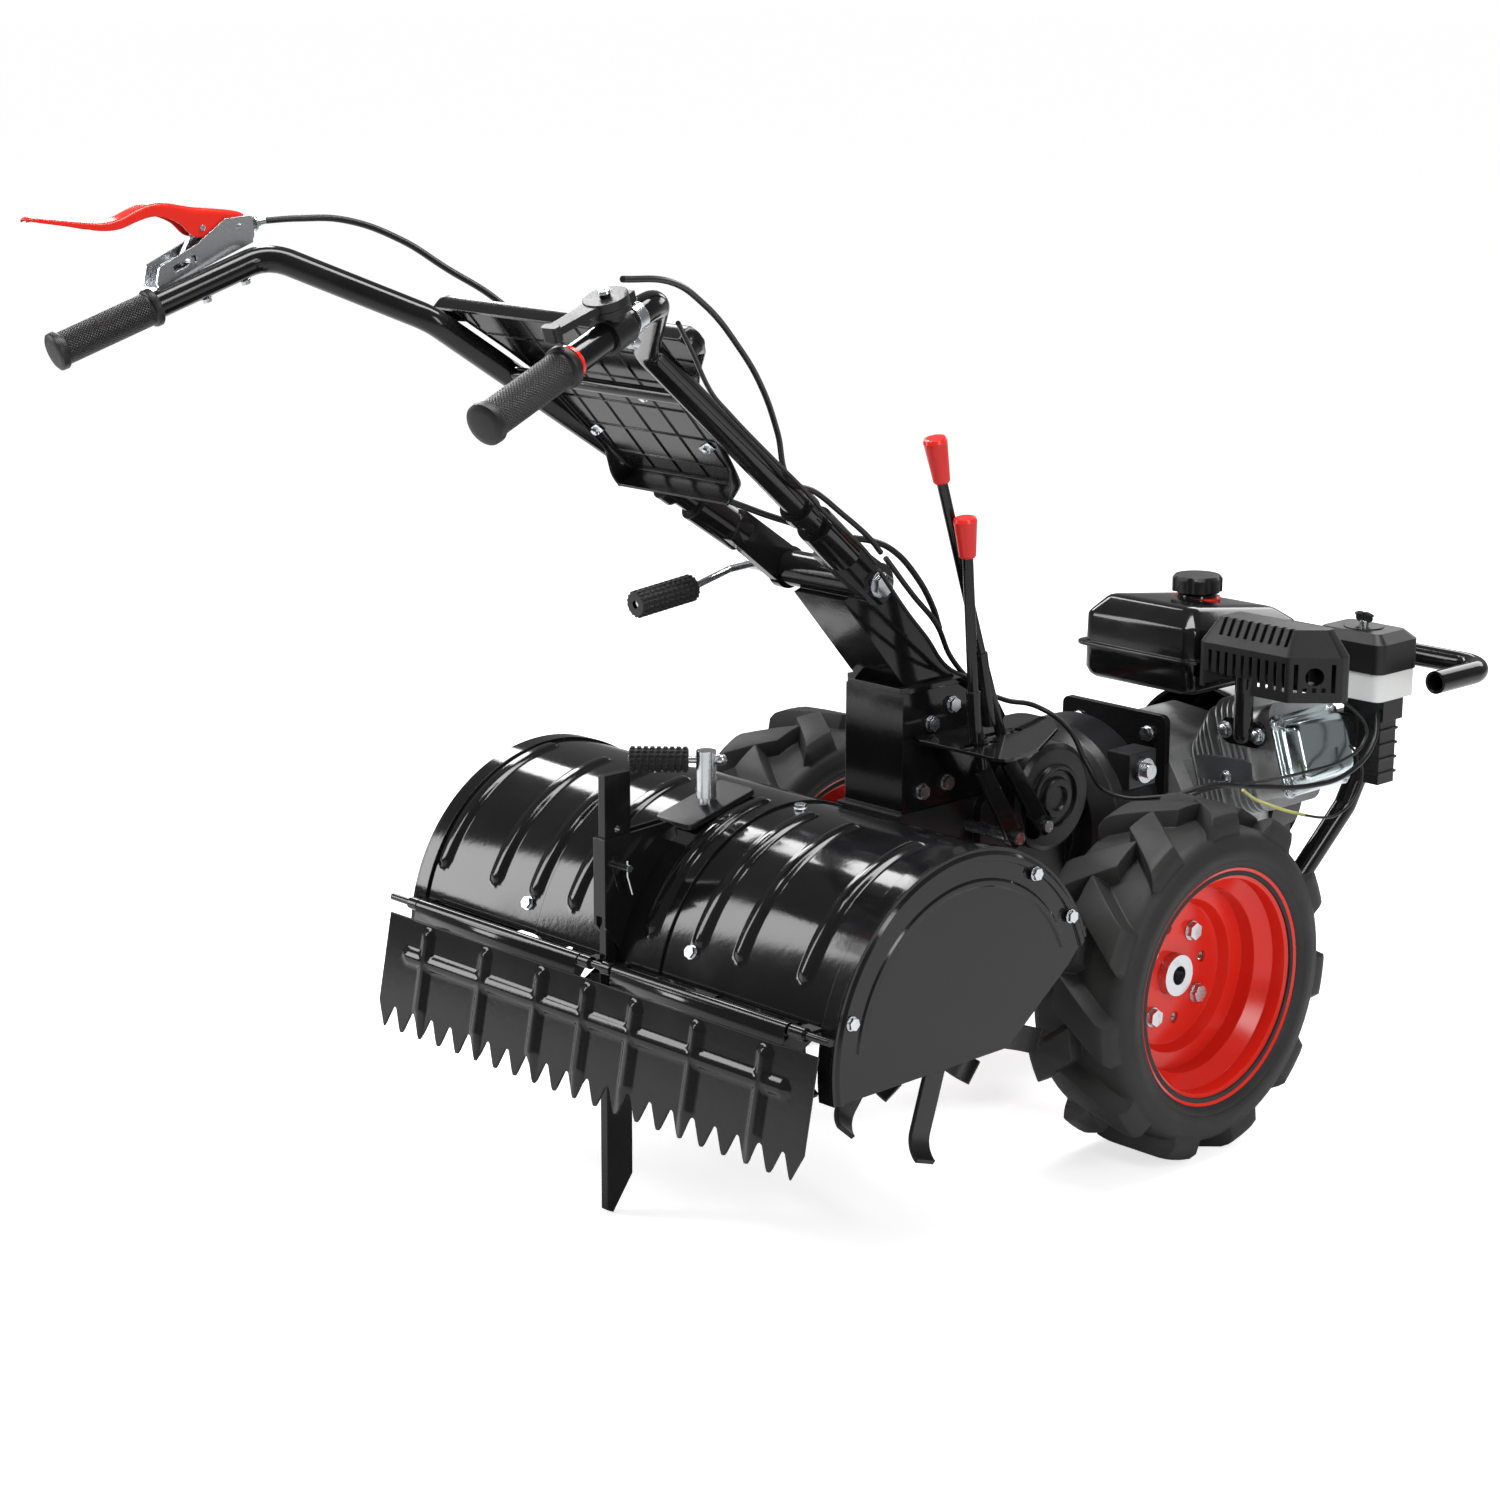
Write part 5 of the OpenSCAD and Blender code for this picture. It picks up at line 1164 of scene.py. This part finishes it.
def buildConsole():
    frameOf = (Matrix.Translation(console["place"])
               @ Matrix.Rotation(math.radians(console["tilt"]), 4, "X"))
    edge, depth = console["edge"], console["width"][-1][0]
    across, along = 46, 62

    def foldedEdge(index, count, reach):
        # how far in from the edge, and how high, this row of points lies
        step = min(index, count - index)
        if step < len(edge):
            return edge[step][0], edge[step][1]
        inner = edge[-1][0]
        return inner + (reach - inner) * (step - len(edge) + 1) / (count / 2 - len(edge) + 1), 0

    def place(u, v):
        i, j = round(u * across), round(v * along)
        inset, rise = foldedEdge(j, along, depth / 2)
        y = inset if j <= along / 2 else depth - inset
        half = graph(console["width"], y)
        sideInset, sideRise = foldedEdge(i, across, half)
        x = (half - sideInset) * (1 if i > across / 2 else -1)
        endEdge = console["lowerEdge"] if j <= along / 2 else console["upperEdge"]
        height = max(rise * endEdge, sideRise * graph(console["sideEdge"], y))
        return frameOf @ Vector((x / 1000, y / 1000, (console["base"] + height) / 1000))

    tray = shapedGrid("consoleTray", across, along, place)
    giveWall(tray, console["wall"], 0)
    pitch, (ridgeWide, ridgeHigh) = console["quilt"], console["ridge"]
    ridges = []
    for k in range(-4, 5):
        x = k * pitch
        low = next((y for y in range(8, 246, 2) if graph(console["width"], y) > abs(x) + 6), 244)
        ridges.append(((x, (low + 246) / 2), (ridgeWide, (246 - low) / 1000)))
    for k in range(6):
        y = 30 + k * pitch
        ridges.append(((0, y), (2 * (graph(console["width"], y) - 6) / 1000, ridgeWide)))
    parts = [tray]
    for (x, y), (wide, long) in ridges:
        rib = block("quiltRidge", Vector((x / 1000, y / 1000, (console["base"] + 1.4) / 1000)),
                    (wide, long, ridgeHigh), None, 0.0006)
        rib.data.transform(frameOf)
        parts.append(rib)
    fit(joinPieces("consoleTray", parts), "handlebar", "plastic_black", "console", angle=40,
        material="glossy_plastic")
    clips = []
    down = frameOf.to_3x3() @ Vector((0, 0, 1))
    for x, y in console["clips"]:
        spot = Vector((x / 1000, y / 1000, (console["base"] + 2.6) / 1000))
        plate = block("trayClip", spot, console["clip"], Matrix.Rotation(0.5, 3, "Z"), 0.0005)
        plate.data.transform(frameOf)
        clips += [plate, boltHead(frameOf @ (spot + Vector((0, 0, 0.0006))), down, 4.5)]
    fit(joinPieces("trayClips", clips), "handlebar", "zinc")
    y, z, radius = console["brace"]
    half = console["braceHalf"]
    bar = drawWire("crossBrace", [frameOf @ Vector((s * half, y / 1000, z / 1000)) for s in (-1, 1)],
                   radius, 8, 1, "VECTOR")
    fit(bar, "handlebar", "paint_black")


finishes["glossy_plastic"] = mouldedSurface("glossyTrayPlastic", {
    **blackPlastic, "colour": (0.006, 0.006, 0.0065), "handledColour": (0.009, 0.009, 0.0095),
    "roughness": 0.14, "grainDepth": 0.00003})
buildConsole()
print("console done")


# Studio
studio = {"floorColour": (0.82, 0.82, 0.82), "floorGlow": 0.7, "worldLight": 0.36,
          "worldGloss": 0.2, "aim": at(-82.8, -314, 450), "distance": 3.7277,
          "azimuth": 46.17, "elevation": 13.96, "roll": 0.18, "lens": 79.35}
# name, place, aim, size and power
lamps = [("overhead", (0.2, -0.1, 3.0), (0, 0, 0.4), (2.6, 0.7), 90),
         ("leftBox", (-2.5, -2.1, 1.7), (0, -0.1, 0.5), (0.7, 2.4), 50),
         ("leftHigh", (-2.3, 0.7, 2.4), (0, -0.3, 0.5), (0.5, 2.0), 40),
         ("rightBox", (3.2, -0.6, 1.8), (0, 0, 0.4), (0.6, 2.0), 38),
         ("backBox", (-0.6, 3.4, 2.0), (0, 0, 0.5), (2.6, 1.0), 36)]


def lightWorld():
    # plain light all round, a white background, and dimmer air in mirror reflections
    world = bpy.data.worlds.new("studioAir")
    bpy.context.scene.world = world
    world.use_nodes = True
    tree = world.node_tree
    tree.nodes.clear()

    def maths(operation, *inputs):
        node = tree.nodes.new("ShaderNodeMath")
        node.operation = operation
        for socket, value in zip(node.inputs, inputs):
            if isinstance(value, float):
                socket.default_value = value
            else:
                tree.links.new(value, socket)
        return node.outputs[0]

    path = tree.nodes.new("ShaderNodeLightPath").outputs
    light = studio["worldLight"]
    seen = maths("MAXIMUM", path["Is Camera Ray"], path["Is Transmission Ray"])
    gloss = maths("MULTIPLY", path["Is Glossy Ray"], studio["worldGloss"] - light)
    base = maths("MULTIPLY_ADD", seen, 1 - light, light)
    air = tree.nodes.new("ShaderNodeBackground")
    air.inputs["Color"].default_value = (1, 1, 1, 1)
    tree.links.new(maths("ADD", base, gloss), air.inputs["Strength"])
    end = tree.nodes.new("ShaderNodeOutputWorld")
    tree.links.new(air.outputs[0], end.inputs["Surface"])


def layFloor():
    bpy.ops.object.select_all(action="DESELECT")
    bpy.ops.mesh.primitive_plane_add(size=80, location=(0, 0, -0.0005))
    floor = bpy.context.object
    floor.name = "studioFloor"
    s = Surface("floorPaper")
    shader = s.add("ShaderNodeBsdfDiffuse", None, Color=(*studio["floorColour"], 1))
    glow = s.add("ShaderNodeEmission", None, Color=(1, 1, 1, 1))
    path = s.tree.nodes.new("ShaderNodeLightPath")
    s.feed(glow.socket.node.inputs["Strength"],
           Wire(s, path.outputs["Is Camera Ray"]) * studio["floorGlow"])
    both = s.add("ShaderNodeAddShader", None, shader, glow)
    s.tree.links.new(both.socket, s.output.inputs["Surface"])
    floor.data.materials.append(s.material)


def hangLight(name, place, aim, size, power):
    lamp = bpy.data.lights.new(name, "AREA")
    lamp.shape = "RECTANGLE"
    lamp.size, lamp.size_y = size
    lamp.energy = power
    holder = bpy.data.objects.new(name, lamp)
    bpy.context.scene.collection.objects.link(holder)
    holder.location = place
    holder.rotation_euler = (Vector(aim) - Vector(place)).to_track_quat("-Z", "Y").to_euler()


def aimCamera():
    azimuth, elevation = math.radians(studio["azimuth"]), math.radians(studio["elevation"])
    back = Vector((math.sin(azimuth) * math.cos(elevation), -math.cos(azimuth) * math.cos(elevation),
                   math.sin(elevation)))
    lens = bpy.data.cameras.new("studioCamera")
    lens.lens = studio["lens"]
    lens.sensor_width = 36
    lens.clip_end = 200
    camera = bpy.data.objects.new("studioCamera", lens)
    bpy.context.scene.collection.objects.link(camera)
    camera.location = studio["aim"] + back * studio["distance"]
    camera.rotation_euler = ((-back).to_track_quat("-Z", "Y").to_matrix()
                             @ Matrix.Rotation(math.radians(studio["roll"]), 3, "Z")).to_euler()
    bpy.context.scene.camera = camera


lightWorld()
layFloor()
for lamp in lamps:
    hangLight(*lamp)
aimCamera()
bpy.context.scene.view_settings.view_transform = "Standard"
print("studio ready")

bpy.context.view_layer.update()
